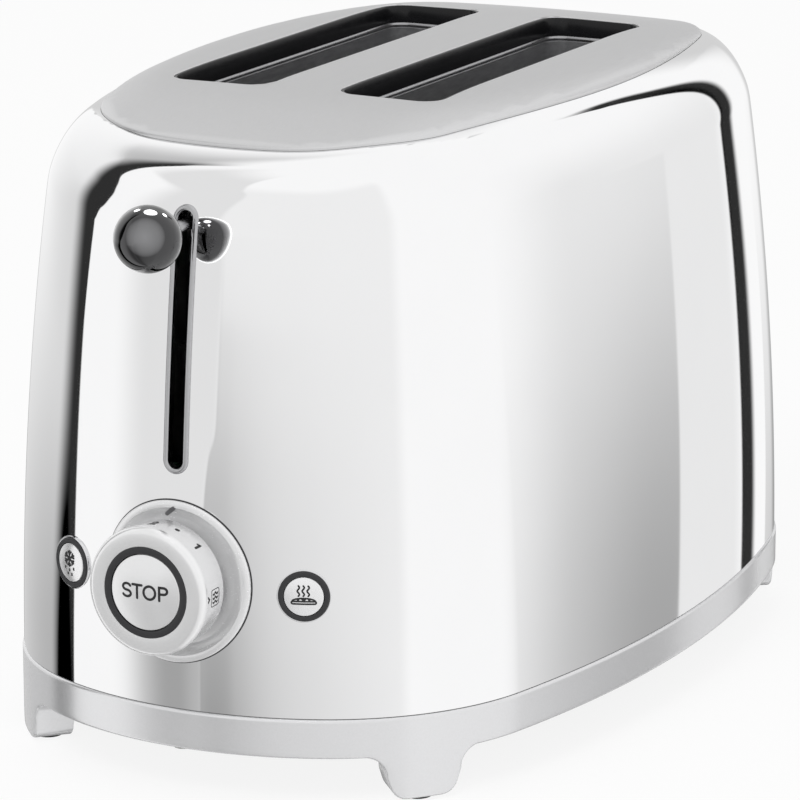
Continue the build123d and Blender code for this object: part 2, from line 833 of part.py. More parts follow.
# Heating elements: four mica boards, each with a zigzag of nichrome strip on its bread side
# Bread guides: four wire grids that close in on the bread as the racks go down
run_pitch = (board_high_z - board_low_z - 2 * wire_margin) / (wire_runs - 1)
run_half = chamber_half - wire_margin
guide_count = int(slot_half_length // guide_pitch)
for (name, side), (place, way) in product(sides.items(), (("outer", 1), ("inner", -1))):
    centre = side * slot_centre
    out = side * way
    face_x = centre + out * board_offset
    with BuildPart() as element_board:
        with BuildSketch(beside(face_x)):
            with Locations((0, (board_low_z + board_high_z) / 2)):
                Rectangle(2 * chamber_half, board_high_z - board_low_z)
        extrude(amount=out * board_sheet)
    keep(element_board, f"element_board_{name}_{place}")

    with BuildPart() as element_wire:
        with BuildSketch(beside(face_x)):
            for run in range(wire_runs):
                z = board_low_z + wire_margin + run * run_pitch
                with Locations((0, z)):
                    Rectangle(2 * run_half, wire_strip)
                if run < wire_runs - 1:
                    turn = run_half if run % 2 == 0 else -run_half
                    with Locations((turn * (1 - wire_strip / 2 / run_half), z + run_pitch / 2)):
                        Rectangle(wire_strip, run_pitch)
        extrude(amount=-out * wire_sheet)
    keep(element_wire, f"element_wire_{name}_{place}")

    guide_x = centre + out * guide_offset
    with BuildPart() as bread_guide:
        with BuildSketch(level(guide_low_z)):
            with Locations(
                *[(guide_x, k * guide_pitch) for k in range(-guide_count, guide_count + 1)]
            ):
                Circle(guide_wire / 2)
        extrude(amount=guide_high_z - guide_low_z)
        with BuildSketch(facing(0)):
            with Locations((guide_x, guide_low_z), (guide_x, guide_high_z)):
                Circle(guide_rail / 2)
        extrude(amount=bulkhead_face + guide_overhang, both=True)
    keep(bread_guide, f"bread_guide_{name}_{place}")

# Bread racks: strips on edge with cross teeth, carried at the lever end by the carriage
tooth_count = int((slot_half_length - tooth_radius) // tooth_pitch)
for name, side in sides.items():
    with BuildPart() as bread_rack:
        with BuildSketch(beside(side * slot_centre)):
            with Locations((carriage_back, rack_z)):
                Rectangle(
                    bulkhead_face + guide_overhang - carriage_back,
                    rack_height,
                    align=(Align.MIN, Align.CENTER),
                )
        extrude(amount=rack_sheet / 2, both=True)
        with BuildSketch(beside(side * slot_centre)):
            with Locations(
                *[
                    (k * tooth_pitch, rack_z + rack_height / 2 - tooth_radius)
                    for k in range(-tooth_count, tooth_count + 1)
                ]
            ):
                Circle(tooth_radius)
        extrude(amount=tooth_reach, both=True)
    keep(bread_rack, f"bread_rack_{name}")

# Carriage: plate that slides on the two rods, with a bush for each and a tongue up to the lever
with BuildPart() as carriage:
    with BuildSketch(facing(carriage_back)):
        with Locations((0, rack_z)):
            Rectangle(2 * (slot_centre + bush_radius), bush_height)
        with Locations((0, carriage_low)):
            Rectangle(
                2 * tongue_half_width,
                lever_z + tongue_half_width - carriage_low,
                align=(Align.CENTER, Align.MIN),
            )
    extrude(amount=carriage_sheet)
    with BuildSketch(level(carriage_low)):
        with Locations(*rod_places):
            Circle(bush_radius)
            Circle(rod_radius + rod_running_gap, mode=Mode.SUBTRACT)
    extrude(amount=bush_height)
keep(carriage, "carriage")

# Armature: soft iron block under the carriage, which the magnet holds when the racks are down
with BuildPart() as armature:
    with BuildSketch(level(carriage_low)):
        with Locations((0, carriage_front - magnet_half_depth + carriage_sheet)):
            Rectangle(2 * armature_half_width, 2 * magnet_half_depth)
    extrude(amount=-armature_sheet)
keep(armature, "armature")

# Lever: a steel stem through the slot, and a ball knob
with BuildPart() as lever_stem:
    with BuildSketch(facing(carriage_front, lever_z)):
        Circle(stem_radius)
    extrude(amount=carriage_front - knob_y)
keep(lever_stem, "lever_stem")
with BuildPart() as lever_knob:
    with Locations((0, mid + knob_y, lever_z)):
        Sphere(knob_radius)
    with BuildSketch(facing(knob_y, lever_z)):
        Circle(stem_radius + rod_running_gap)
    extrude(amount=-2 * knob_radius, mode=Mode.SUBTRACT)
keep(lever_knob, "lever_knob")

# Lever slot trim: bright rim round the slot, with a collar through the casing wall
trim_low = lever_slot_bottom - 2 * trim_rim
trim_high = lever_slot_top + 2 * trim_rim
end_lean_angle = atan2(end_centre[1] - end_lean_centre[1], end_lean_centre[0] - end_centre[0])
end_tangent_z = end_lean_centre[1] + end_lean_radius * sin(end_lean_angle)


def end_block(shallow, deep):
    """Upright block that follows the control end, between two depths under its face."""
    breaks = sorted({trim_low, min(max(end_tangent_z, trim_low), trim_high), trim_high})
    with BuildPart() as block:
        with BuildSketch(beside(0)):
            with BuildLine():
                for depth in (shallow, deep):
                    for low, high in zip(breaks, breaks[1:]):
                        ThreePointArc(
                            *[(end_face(z) + depth, z) for z in (low, (low + high) / 2, high)]
                        )
                for z in (trim_low, trim_high):
                    Line((end_face(z) + shallow, z), (end_face(z) + deep, z))
            make_face()
        extrude(amount=lever_slot_width, both=True)
    return block.part


with BuildPart() as trim_rim_ring:
    add(end_block(-trim_proud, 0))
    with BuildSketch(facing(0)):
        add(lever_slot(trim_rim))
    extrude(amount=half_length + trim_proud, mode=Mode.INTERSECT)
with BuildPart() as trim_collar_ring:
    add(end_block(0, trim_depth))
    with BuildSketch(facing(0)):
        add(lever_slot(trim_collar))
    extrude(amount=half_length + trim_proud, mode=Mode.INTERSECT)
with BuildPart() as lever_slot_trim:
    add(trim_rim_ring.part)
    add(trim_collar_ring.part)
    with BuildSketch(facing(0)):
        add(lever_slot(0))
    extrude(amount=half_length + trim_proud, mode=Mode.SUBTRACT)
keep(lever_slot_trim, "lever_slot_trim")

# Guide rods and the return spring round one of them
with BuildPart() as guide_rods:
    with BuildSketch(level(shelf_z)):
        with Locations(*rod_places):
            Circle(rod_radius)
    extrude(amount=bulkhead_top - shelf_z)
keep(guide_rods, "guide_rods")
spring_radius = rod_radius + spring_gap + spring_wire / 2
spring_low = carriage_high + spring_wire / 2
spring_high = bulkhead_top - bulkhead_sheet - spring_wire / 2
spring_length = spring_high - spring_low
with BuildPart() as return_spring:
    with BuildLine(Plane(origin=(rod_places[1][0], mid + rod_places[1][1], spring_low))):
        coil = Helix(spring_length / spring_turns, spring_length, spring_radius)
    with BuildSketch(Plane(origin=coil @ 0, z_dir=coil % 0)):
        Circle(spring_wire / 2)
    sweep(path=coil, is_frenet=True)
keep(return_spring, "return_spring")

# Holding magnet: iron core with three poles on the lower shelf, and its coil
magnet_top = carriage_low - armature_sheet - lever_travel - magnet_gap
magnet_low = shelf_z + bulkhead_sheet
magnet_y = carriage_front - magnet_half_depth + carriage_sheet
with BuildPart() as magnet_core:
    with BuildSketch(facing(magnet_y)):
        with Locations((0, (magnet_low + magnet_top) / 2)):
            Rectangle(2 * magnet_half_width, magnet_top - magnet_low)
        for side in sides.values():
            with Locations((side * (pole_half_width + coil_wall / 2), magnet_top)):
                Rectangle(
                    coil_wall,
                    magnet_top - magnet_low - yoke_height,
                    align=(Align.CENTER, Align.MAX),
                    mode=Mode.SUBTRACT,
                )
    extrude(amount=magnet_half_depth, both=True)
keep(magnet_core, "magnet_core")
with BuildPart() as magnet_coil:
    with BuildSketch(level(magnet_low + yoke_height)):
        with Locations((0, magnet_y)):
            Rectangle(2 * (pole_half_width + coil_wall), 2 * (magnet_half_depth + coil_wall))
            Rectangle(2 * pole_half_width, 2 * magnet_half_depth, mode=Mode.SUBTRACT)
    extrude(amount=magnet_top - magnet_low - yoke_height - coil_drop)
keep(magnet_coil, "magnet_coil")


def turned(place, *corners):
    """Solid of revolution: corners are (radius, distance out of the casing) round a closed loop."""
    with BuildPart() as blank:
        with BuildSketch(place):
            with BuildLine():
                Polyline(*corners, close=True)
            make_face()
        revolve(axis=Axis(place.origin, place.y_dir))
    return blank.part


def crowned(place, radius, back, front, crown_r):
    """Round disc from back to front whose front face is crowned."""
    edge = front - crown_r + sqrt(crown_r**2 - radius**2)
    middle = front - crown_r + sqrt(crown_r**2 - radius**2 / 4)
    with BuildPart() as disc:
        with BuildSketch(place):
            with BuildLine():
                ThreePointArc((0, front), (radius / 2, middle), (radius, edge))
                Polyline((radius, edge), (radius, back), (0, back), (0, front))
            make_face()
        revolve(axis=Axis(place.origin, place.y_dir))
    return disc.part


# Dial: bezel on the casing, knob with its hub, inlaid ring, and the stop button in its middle
dial_place = turning(0, dial_face_y, dial_z)
dish_floor = bezel_front - bezel_dish
dish_radius = dial_back_radius + dial_dish_gap
bore = hub_radius + hub_running_gap
with BuildPart() as dial_bezel:
    add(
        turned(
            dial_place,
            (bore, -bezel_depth),
            (bore, dish_floor),
            (dish_radius, dish_floor),
            (bezel_radius - bezel_land, bezel_front),
            (bezel_radius, bezel_front),
            (bezel_radius, -bezel_depth),
        )
    )
    add(outer_form, mode=Mode.SUBTRACT)
keep(dial_bezel, "dial_bezel")

dial_back = dial_standoff - dial_length
ring_seat = dial_standoff - stop_skirt
pocket_floor = dial_standoff - stop_skirt - stop_travel - 2 * stop_gap
plunger_bore = plunger_radius + 2 * stop_gap
with BuildPart() as dial:
    add(
        turned(
            dial_place,
            (plunger_bore, -hub_length),
            (hub_radius, -hub_length),
            (hub_radius, dial_back),
            (dial_back_radius, dial_back),
            (dial_radius, dial_standoff - dial_cap_length),
            (dial_cap_radius, dial_standoff - dial_cap_length),
            (dial_cap_radius, dial_standoff),
            (stop_ring_radius, dial_standoff),
            (stop_ring_radius, ring_seat),
            (stop_radius + stop_gap, ring_seat),
            (stop_radius + stop_gap, pocket_floor),
            (plunger_bore, pocket_floor),
        )
    )
    rim = dial.edges().filter_by(GeomType.CIRCLE).group_by(SortBy.RADIUS)[-1].sort_by(Axis.Y)[0]
    fillet(rim, radius=dial_round)
keep(dial, "dial")
with BuildPart() as stop_ring:
    add(
        turned(
            dial_place,
            (stop_radius + stop_gap, ring_seat),
            (stop_ring_radius, ring_seat),
            (stop_ring_radius, dial_standoff + stop_ring_proud),
            (stop_radius + stop_gap, dial_standoff + stop_ring_proud),
        )
    )
keep(stop_ring, "stop_ring")
switch_face = board_y_gap - switch_length
stop_back = dial_standoff - stop_skirt
with BuildPart() as stop_button:
    add(crowned(dial_place, stop_radius, stop_back, dial_standoff + stop_proud, stop_crown))
    with BuildSketch(facing(dial_face_y - stop_back, dial_z)):
        Circle(plunger_radius)
    extrude(amount=-(stop_back + switch_face - stop_travel - switch_gap))
keep(stop_button, "stop_button")

# Side buttons: each a disc with its plunger, in a ring that is let into the casing
for name, side in {"defrost": -1, "bagel": 1}.items():
    place = turning(side * button_x, button_y, button_z, side * button_angle)
    bore = button_radius + button_gap
    collar_radius = bore + button_collar
    with BuildPart() as rim:
        add(
            turned(
                place,
                (bore, -button_skirt),
                (bore, button_ring_proud),
                (button_ring_radius, button_ring_proud),
                (button_ring_radius, -button_skirt),
            )
        )
        add(outer_form, mode=Mode.SUBTRACT)
    with BuildPart() as button_ring:
        add(rim.part)
        add(
            turned(
                place,
                (bore, -button_skirt),
                (bore, 0),
                (collar_radius, 0),
                (collar_radius, -button_skirt),
            )
        )
    keep(button_ring, f"{name}_ring")
    with BuildPart() as side_button:
        add(crowned(place, button_radius, -button_back, button_proud, button_crown))
        with BuildSketch(Plane(origin=place.origin, z_dir=place.y_dir)):
            Circle(plunger_radius)
        extrude(amount=-button_reach)
    keep(side_button, f"{name}_button")

# Control board: upright board behind the buttons, on four spacers from the front bulkhead
board_corners = [
    (x * (board_half_width - corner_margin), z)
    for x in (-1, 1)
    for z in (control_low_z + corner_margin, control_high_z - corner_margin)
]
with BuildPart() as control_board:
    with BuildSketch(facing(board_back)):
        with Locations((0, (control_low_z + control_high_z) / 2)):
            Rectangle(2 * board_half_width, control_high_z - control_low_z)
        with Locations(*board_corners):
            Circle(screw_radius + screw_gap, mode=Mode.SUBTRACT)
    extrude(amount=control_sheet)
keep(control_board, "control_board")
with BuildPart() as board_spacers:
    with BuildSketch(facing(-bulkhead_face)):
        with Locations(*board_corners):
            Circle(spacer_radius)
    extrude(amount=-bulkhead_face - board_back)
    with BuildSketch(facing(board_back)):
        with Locations(*board_corners):
            Circle(screw_radius + screw_gap)
    extrude(amount=-screw_length, mode=Mode.SUBTRACT)
keep(board_spacers, "board_spacers")
with BuildPart() as board_screws:
    with BuildSketch(facing(board_front)):
        with Locations(*board_corners):
            Circle(screw_head_radius)
    extrude(amount=screw_head_height)
    with BuildSketch(facing(board_front)):
        with Locations(*board_corners):
            Circle(screw_radius)
    extrude(amount=-screw_length)
keep(board_screws, "board_screws")

# Switches: one behind each button, those at the sides turned to it on a block that stands on the
# board, and the dial's potentiometer
with BuildPart() as button_switches:
    with BuildSketch(facing(board_front, dial_z)):
        Rectangle(2 * switch_half, 2 * switch_half)
    extrude(amount=switch_length)
    for side in sides.values():
        place = turning(side * button_x, button_y, button_z, side * button_angle)
        back = place.origin - place.y_dir * (button_reach + button_travel + switch_gap)
        with BuildSketch(Plane(origin=back, x_dir=place.x_dir, z_dir=place.y_dir)):
            Rectangle(2 * switch_half, 2 * switch_half)
    extrude(amount=-switch_length)
    with BuildSketch(facing(board_front, button_z)):
        with Locations(*[(side * switch_block_x, 0) for side in sides.values()]):
            Rectangle(2 * switch_half, 2 * switch_half)
    extrude(amount=switch_block_height)
keep(button_switches, "button_switches")
with BuildPart() as potentiometer:
    with BuildSketch(facing(board_front, dial_z)):
        Circle(pot_radius)
        Circle(pot_bore, mode=Mode.SUBTRACT)
    extrude(amount=board_y_gap - hub_length - switch_gap)
keep(potentiometer, "potentiometer")

# Terminal block for the supply, on the base plate beside the controls
with BuildPart() as terminal_block:
    with BuildSketch(level(base_top)):
        with Locations((terminal_x, -terminal_y)):
            Rectangle(2 * terminal_half_width, 2 * terminal_half_length)
    extrude(amount=terminal_height)
    with BuildSketch(level(base_top + terminal_height)):
        with Locations(*[(terminal_x, k * terminal_pitch - terminal_y) for k in (-1, 0, 1)]):
            Circle(screw_radius)
    extrude(amount=-terminal_height / 2, mode=Mode.SUBTRACT)
keep(terminal_block, "terminal_block")
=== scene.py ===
"""The retro toaster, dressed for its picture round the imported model.

Lengths in the sections are in millimetres from the middle of the casing, and each piece is turned
into metres as it is made. The lever, the dial and the buttons are on the end that faces -Y.
"""

from math import acos, asin, atan2, ceil, cos, hypot, pi, radians, sin, sqrt, tan

import bpy
from mathutils import Matrix, Vector
from mathutils.geometry import delaunay_2d_cdt


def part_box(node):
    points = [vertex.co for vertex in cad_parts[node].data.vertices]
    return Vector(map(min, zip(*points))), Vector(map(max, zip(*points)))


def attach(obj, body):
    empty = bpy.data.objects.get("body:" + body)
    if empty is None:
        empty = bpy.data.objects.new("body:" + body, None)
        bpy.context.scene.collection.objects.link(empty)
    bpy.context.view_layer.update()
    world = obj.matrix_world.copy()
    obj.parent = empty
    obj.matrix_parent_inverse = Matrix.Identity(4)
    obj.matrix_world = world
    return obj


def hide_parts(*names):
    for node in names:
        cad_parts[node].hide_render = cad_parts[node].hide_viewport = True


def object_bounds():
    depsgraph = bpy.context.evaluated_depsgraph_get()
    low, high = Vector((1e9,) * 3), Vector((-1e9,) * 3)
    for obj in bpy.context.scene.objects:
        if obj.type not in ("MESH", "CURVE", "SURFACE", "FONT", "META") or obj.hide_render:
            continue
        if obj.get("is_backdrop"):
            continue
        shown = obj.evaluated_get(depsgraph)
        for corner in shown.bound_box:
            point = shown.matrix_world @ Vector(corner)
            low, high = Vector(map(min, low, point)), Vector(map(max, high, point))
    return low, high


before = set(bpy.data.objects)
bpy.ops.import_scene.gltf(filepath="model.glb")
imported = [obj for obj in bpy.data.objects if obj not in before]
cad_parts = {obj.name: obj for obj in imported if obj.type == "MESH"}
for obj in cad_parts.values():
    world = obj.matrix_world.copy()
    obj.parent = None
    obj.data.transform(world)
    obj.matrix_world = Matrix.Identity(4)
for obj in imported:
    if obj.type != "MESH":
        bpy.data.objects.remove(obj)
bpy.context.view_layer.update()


# The studio: a white sweep under even light, with the camera a little above the control end.
# Two dark boards stand far off on the left and behind. Only polished metal shows them.
camera_azimuth = radians(27.37)
camera_elevation = radians(14.361)
camera_roll = radians(-0.176)
camera_distance = 1.490462
camera_target = Vector((-0.004819, 0.00813, 0.082138))
camera_lens = 215.977
camera_sensor = 36.0
plain_level = 0.72
board_tone = 0.97
left_foot_tone = 0.33
near_left_tone = 0.2
low_left_tone = 0.42
near_right_tone = 0.09
side_tone = 0.14
side_foot_tone = 0.46
far_tone = 0.33
floor_size = 8.0
floor_drop = 0.00005
floor_light = 0.88
key_place = (0.15, -1.6, 1.9)
key_size = 0.9
key_power = 14.0
front_place = (0.55, -1.75, 0.55)
front_size = 0.35
front_power = 3.0
lamps_aim = (0, 0, 0.12)

camera_data = bpy.data.cameras.new("camera")
camera_data.lens = camera_lens
camera_data.sensor_width = camera_sensor
camera_data.clip_end = 100.0
camera = bpy.data.objects.new("camera", camera_data)
bpy.context.scene.collection.objects.link(camera)
bpy.context.scene.camera = camera
back = Vector(
    (
        sin(camera_azimuth) * cos(camera_elevation),
        -cos(camera_azimuth) * cos(camera_elevation),
        sin(camera_elevation),
    )
)
right = (-back).cross(Vector((0, 0, 1))).normalized()
up = right.cross(-back)
rolled_right = right * cos(camera_roll) + up * sin(camera_roll)
rolled_up = up * cos(camera_roll) - right * sin(camera_roll)
turned = Matrix((rolled_right, rolled_up, back)).transposed().to_4x4()
camera.matrix_world = Matrix.Translation(camera_target + back * camera_distance) @ turned
bpy.context.scene.view_settings.view_transform = "Standard"


def link(tree, kind, *inputs, out=0, **settings):
    """Add a shader node and return one of its outputs. A socket is linked, a number is set."""
    made = tree.nodes.new("ShaderNode" + kind)
    for name, value in settings.items():
        setattr(made, name, value)
    for socket, value in zip(made.inputs, inputs):
        if isinstance(value, bpy.types.NodeSocket):
            tree.links.new(value, socket)
        elif value is not None:
            socket.default_value = value
    return made.outputs[out]


def between(tree, value, low, high, first=0.0, last=1.0):
    """Smooth change from first to last as value goes from low to high."""
    return link(
        tree, "MapRange", value, low, high, first, last, interpolation_type="SMOOTHSTEP"
    )


def times(tree, *values):
    """Product of several values."""
    product = values[0]
    for value in values[1:]:
        product = link(tree, "Math", product, value, operation="MULTIPLY")
    return product


def plus(tree, a, b):
    """Sum of two values."""
    return link(tree, "Math", a, b, operation="ADD")


def line_through(tree, value, places):
    """Value read off a smooth curve through (at, gives) places."""
    made = tree.nodes.new("ShaderNodeFloatCurve")
    low, high = places[0][0], places[-1][0]
    least, most = min(p[1] for p in places), max(p[1] for p in places)
    curve = made.mapping.curves[0]
    for k, (at, gives) in enumerate(places):
        spot = ((at - low) / (high - low), (gives - least) / (most - least))
        if k in (0, len(places) - 1):
            curve.points[0 if k == 0 else -1].location = spot
        else:
            curve.points.new(*spot)
    for point in curve.points:
        point.handle_type = "AUTO_CLAMPED"
    made.mapping.update()
    tree.links.new(link(tree, "MapRange", value, low, high), made.inputs["Value"])
    return link(tree, "MapRange", made.outputs[0], 0.0, 1.0, least, most)


world = bpy.data.worlds.new("studio")
bpy.context.scene.world = world
world.use_nodes = True
tree = world.node_tree
tree.nodes.clear()
axes = tree.nodes.new("ShaderNodeSeparateXYZ")
tree.links.new(link(tree, "TexCoord"), axes.inputs[0])
# The turn of a direction is 0 degrees towards -Y and 90 towards +X, and its rise is how far up it
# points. The edges below are places of (rise, turn) in degrees.
forward = link(tree, "Math", axes.outputs[1], -1.0, operation="MULTIPLY")
turn = link(tree, "Math", axes.outputs[0], forward, operation="ARCTAN2")
turn = link(tree, "Math", turn, operation="DEGREES")
rise = link(tree, "Math", axes.outputs[2], operation="ARCSINE")
rise = link(tree, "Math", rise, operation="DEGREES")


def beside(*places):
    """Degrees by which a direction lies to the right of an edge that runs up through the places."""
    return link(tree, "Math", turn, line_through(tree, rise, places), operation="SUBTRACT")


board_edge = beside(
    (-18, -76), (-14, -74.3), (-6, -71.5), (0, -67.5), (8, -64.3), (16, -63.8), (26, -66.5),
    (36, -73.6), (45, -79.6), (55, -88), (62, -98), (70, -104),
)
board_end = beside(
    (-18, -95), (-14, -92), (-6, -88.5), (20, -88.5), (26, -90), (36, -93), (45, -97), (70, -120),
)
spill = line_through(
    tree, rise, ((-18, 0.2), (0, 0.3), (20, 0.15), (35, 0.1), (43, 0.3), (50, 0.5), (70, 0.45))
)
unspilt = link(tree, "Math", 1.0, spill, operation="SUBTRACT")
board_depth = plus(
    tree,
    times(tree, between(tree, board_end, 0.0, 13.0), unspilt),
    times(tree, between(tree, board_edge, -75.0, -10.0), spill),
)
left_board = times(
    tree,
    between(tree, board_edge, 0.35, -0.35),
    between(tree, rise, 68.0, 57.0),
    board_depth,
    board_tone,
)
left_foot = times(
    tree,
    between(tree, turn, -76.0, -84.0),
    between(tree, rise, -8.0, -17.0),
    left_foot_tone,
)
rear_edge = beside((-18, 171.0), (5, 170.0), (36, 164.5))
rear_board = times(
    tree,
    between(tree, rear_edge, -0.3, 0.3),
    between(tree, rear_edge, 5.2, 3.2),
    between(tree, rise, 37.0, 31.0),
    board_tone,
)
front_edge = beside(
    (-18, -20.5), (-10, -19), (-7, -17.2), (-5.5, -14.8), (0, -14.5), (6, -17), (44, -18), (54, -26),
    (66, -36), (76, -42),
)
near_left = times(
    tree,
    between(tree, beside((-18, -49), (40, -49), (50, -75), (70, -90)), -8.0, 8.0),
    between(tree, front_edge, 1.5, -1.5),
    between(tree, rise, 76.0, 62.0),
    near_left_tone,
)
low_left = times(
    tree,
    between(tree, turn, -52.0, -32.0),
    between(tree, turn, -21.0, -29.0, 0.75, 1.0),
    between(tree, front_edge, 0.4, -0.4),
    between(tree, rise, -9.0, -15.5),
    low_left_tone,
)
tone_by_turn = (
    (-21, 0.85), (-16, 1), (-7, 0.78), (2, 0.52), (10, 0.37), (20, 0.27), (40, 0.14), (60, 0.03),
    (66, 0),
)
tone_by_rise = ((-18, 0.55), (-12, 0.42), (-8, 0.33), (-4, 0.2), (-2, 0.15), (0, 0.05), (4, 0))
low_right = times(
    tree,
    between(tree, front_edge, -0.4, 0.4),
    line_through(tree, turn, tone_by_turn),
    line_through(tree, rise, tone_by_rise),
)
near_right = times(
    tree,
    between(tree, front_edge, -1.5, 1.5),
    between(tree, turn, 66.0, 58.0),
    between(tree, rise, 60.0, 50.0),
    near_right_tone,
)
side_shade = times(
    tree,
    between(tree, turn, 122.0, 136.0),
    between(tree, turn, 172.0, 168.0),
    between(tree, rise, 28.0, -4.0),
    side_tone,
)
side_foot = times(
    tree,
    between(tree, turn, 114.0, 151.0),
    between(tree, turn, 154.8, 154.2),
    between(tree, rise, -3.0, -17.0),
    side_foot_tone,
)
far_shade = times(
    tree,
    between(tree, turn, -140.5, -142.5),
    between(tree, turn, -179.5, -168.0),
    between(tree, rise, 44.0, 30.0),
    far_tone,
)
shades = (
    left_foot, rear_board, near_left, low_left, low_right, near_right, side_shade, side_foot,
    far_shade,
)
darker = left_board
for shade in shades:
    darker = plus(tree, darker, shade)
seen = link(tree, "Math", 1.0, darker, operation="SUBTRACT", use_clamp=True)
rays = tree.nodes.new("ShaderNodeLightPath")
shown = link(tree, "Math", seen, rays.outputs["Is Camera Ray"], operation="MAXIMUM")
mirrored = link(
    tree,
    "Math",
    rays.outputs["Is Glossy Ray"],
    rays.outputs["Is Transmission Ray"],
    operation="MAXIMUM",
)
looked_at = link(tree, "Math", mirrored, rays.outputs["Is Camera Ray"], operation="MAXIMUM")
mixed = link(
    tree,
    "MixShader",
    looked_at,
    link(tree, "Background", (1, 1, 1, 1), plain_level),
    link(tree, "Background", (1, 1, 1, 1), shown),
)
world_end = tree.nodes.new("ShaderNodeOutputWorld")
tree.links.new(mixed, world_end.inputs[0])

floor_mesh = bpy.data.meshes.new("floor")
corner_signs = ((-1, -1), (1, -1), (1, 1), (-1, 1))
corners = [(x * floor_size, y * floor_size, -floor_drop) for x, y in corner_signs]
floor_mesh.from_pydata(corners, [], [(0, 1, 2, 3)])
floor = bpy.data.objects.new("floor", floor_mesh)
bpy.context.scene.collection.objects.link(floor)
floor_paint = bpy.data.materials.new("floor_paint")
floor_paint.use_nodes = True
tree = floor_paint.node_tree
tree.nodes.clear()
rays = tree.nodes.new("ShaderNodeLightPath")
matt = link(tree, "BsdfDiffuse", (0.92, 0.92, 0.92, 1))
lit = link(tree, "MixShader", floor_light, matt, link(tree, "Emission", (1, 1, 1, 1), 1.0))
mirrored = link(
    tree,
    "Math",
    rays.outputs["Is Glossy Ray"],
    rays.outputs["Is Transmission Ray"],
    operation="MAXIMUM",
)
base = link(tree, "MixShader", rays.outputs["Is Camera Ray"], matt, lit)
whole = link(tree, "MixShader", mirrored, base, link(tree, "BsdfTransparent"))
floor_end = tree.nodes.new("ShaderNodeOutputMaterial")
tree.links.new(whole, floor_end.inputs[0])
floor_mesh.materials.append(floor_paint)
floor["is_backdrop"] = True


def lamp(name, place, size, power, aim=lamps_aim):
    """Round soft lamp that shines at the toaster."""
    data = bpy.data.lights.new(name, "AREA")
    data.shape = "DISK"
    data.size = size
    data.energy = power
    made = bpy.data.objects.new(name, data)
    made.location = place
    made.rotation_euler = (Vector(aim) - Vector(place)).to_track_quat("-Z", "Y").to_euler()
    bpy.context.scene.collection.objects.link(made)
    return made


lamp("key_lamp", key_place, key_size, key_power).visible_glossy = False
lamp("front_lamp", front_place, front_size, front_power).visible_glossy = False


# Casing: a shell deep-drawn from one sheet of stainless steel and polished to a mirror.
# It bellies out towards the foot, and its wall rolls over in a shoulder up to the top plate.
mm = 0.001
casing_low, casing_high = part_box("casing")
middle_y = (casing_low.y + casing_high.y) / 2
crown_apex = 198.0
seam_z = 26.0
half_width = 92.3
half_length = 150.2
corner_radius = 71.2
corner_side_inset = 80.0
end_radius = 100.6
sheet = 0.9
plate_half_width = 69.8
plate_half_length = 122.5
plate_corner_radius = 48.0
plate_corner_side_inset = 59.1
plate_end_radius = 130.1
plate_sheet = 1.0
crown_radius = 615.0
field_z = 193.4
field_blend = 2.4
flat_half_width = 38.0
flat_drop = 0.5
roll_radius = 72.5
plate_gap = 0.1
side_lean_radius = 1340.0
side_upright_z = 10.0
side_shoulder = 28.0
end_lean_radius = 976.0
end_upright_z = 26.0
end_shoulder = 24.0
grain_detail = 4.0
grain_fineness = 0.6
grain_low = 0.3
grain_high = 0.7


def crown_drop(x):
    """How far the top plate has rolled down at a distance x from its middle line."""
    slope = 2 * flat_half_width * flat_drop / (flat_half_width**2 + flat_drop**2)
    if abs(x) <= flat_half_width:
        return flat_drop * (x / flat_half_width) ** 2
    reach = (abs(x) - flat_half_width) / roll_radius + slope
    return flat_drop + roll_radius * (sqrt(1 - slope**2) - sqrt(1 - reach**2))


def crown_z(x, y):
    """Height of the crowned top face, which runs softly into the flat field round the slots."""
    crowned_z = crown_apex - crown_radius + sqrt((crown_radius - crown_drop(x)) ** 2 - y**2)
    near = max(field_blend - abs(crowned_z - field_z), 0.0) / field_blend
    return min(crowned_z, field_z) - near**2 * field_blend / 4


def wall(lean_radius, upright_z, shoulder, rim_inset, rim_z):
    """Rule for the inset of a wall: a slowly leaning arc that runs into the shoulder arc."""
    lean_x = sqrt(lean_radius**2 - (seam_z - upright_z) ** 2)
    apart = hypot(rim_inset - lean_x, rim_z - upright_z)
    along = (apart**2 + (lean_radius - shoulder) ** 2 - shoulder**2) / (2 * apart)
    aside = sqrt((lean_radius - shoulder) ** 2 - along**2)
    way = ((rim_inset - lean_x) / apart, (rim_z - upright_z) / apart)
    centre = (lean_x + along * way[0] - aside * way[1], upright_z + along * way[1] + aside * way[0])
    tangent = atan2(centre[1] - upright_z, lean_x - centre[0])
    tangent_z = upright_z + lean_radius * sin(tangent)

    def inset(z):
        if z <= tangent_z:
            return lean_x - sqrt(lean_radius**2 - (z - upright_z) ** 2)
        return centre[0] - sqrt(shoulder**2 - (z - centre[1]) ** 2)

    return inset


side_rim_z = crown_apex - plate_sheet - crown_drop(plate_half_width)
end_rim_z = crown_apex - plate_sheet - crown_radius + sqrt(crown_radius**2 - plate_half_length**2)
side_inset = wall(
    side_lean_radius, side_upright_z, side_shoulder, half_width - plate_half_width, side_rim_z
)
end_wall = wall(
    end_lean_radius, end_upright_z, end_shoulder, half_length - plate_half_length, end_rim_z
)


def end_inset(z):
    """Inset of the two ends, which follow the crown above the rim of the plate."""
    if z <= end_rim_z:
        return end_wall(z)
    above_centre = z - crown_apex + crown_radius
    return half_length - sqrt((crown_radius - plate_sheet) ** 2 - above_centre**2)


def end_face(z):
    """Y of the casing's control end at height z."""
    return end_inset(z) - half_length


def corner_depth(end_r, corner_r, corner_x):
    """How far a corner arc's centre stands in from the end that it runs into."""
    return end_r - sqrt((end_r - corner_r) ** 2 - corner_x**2)


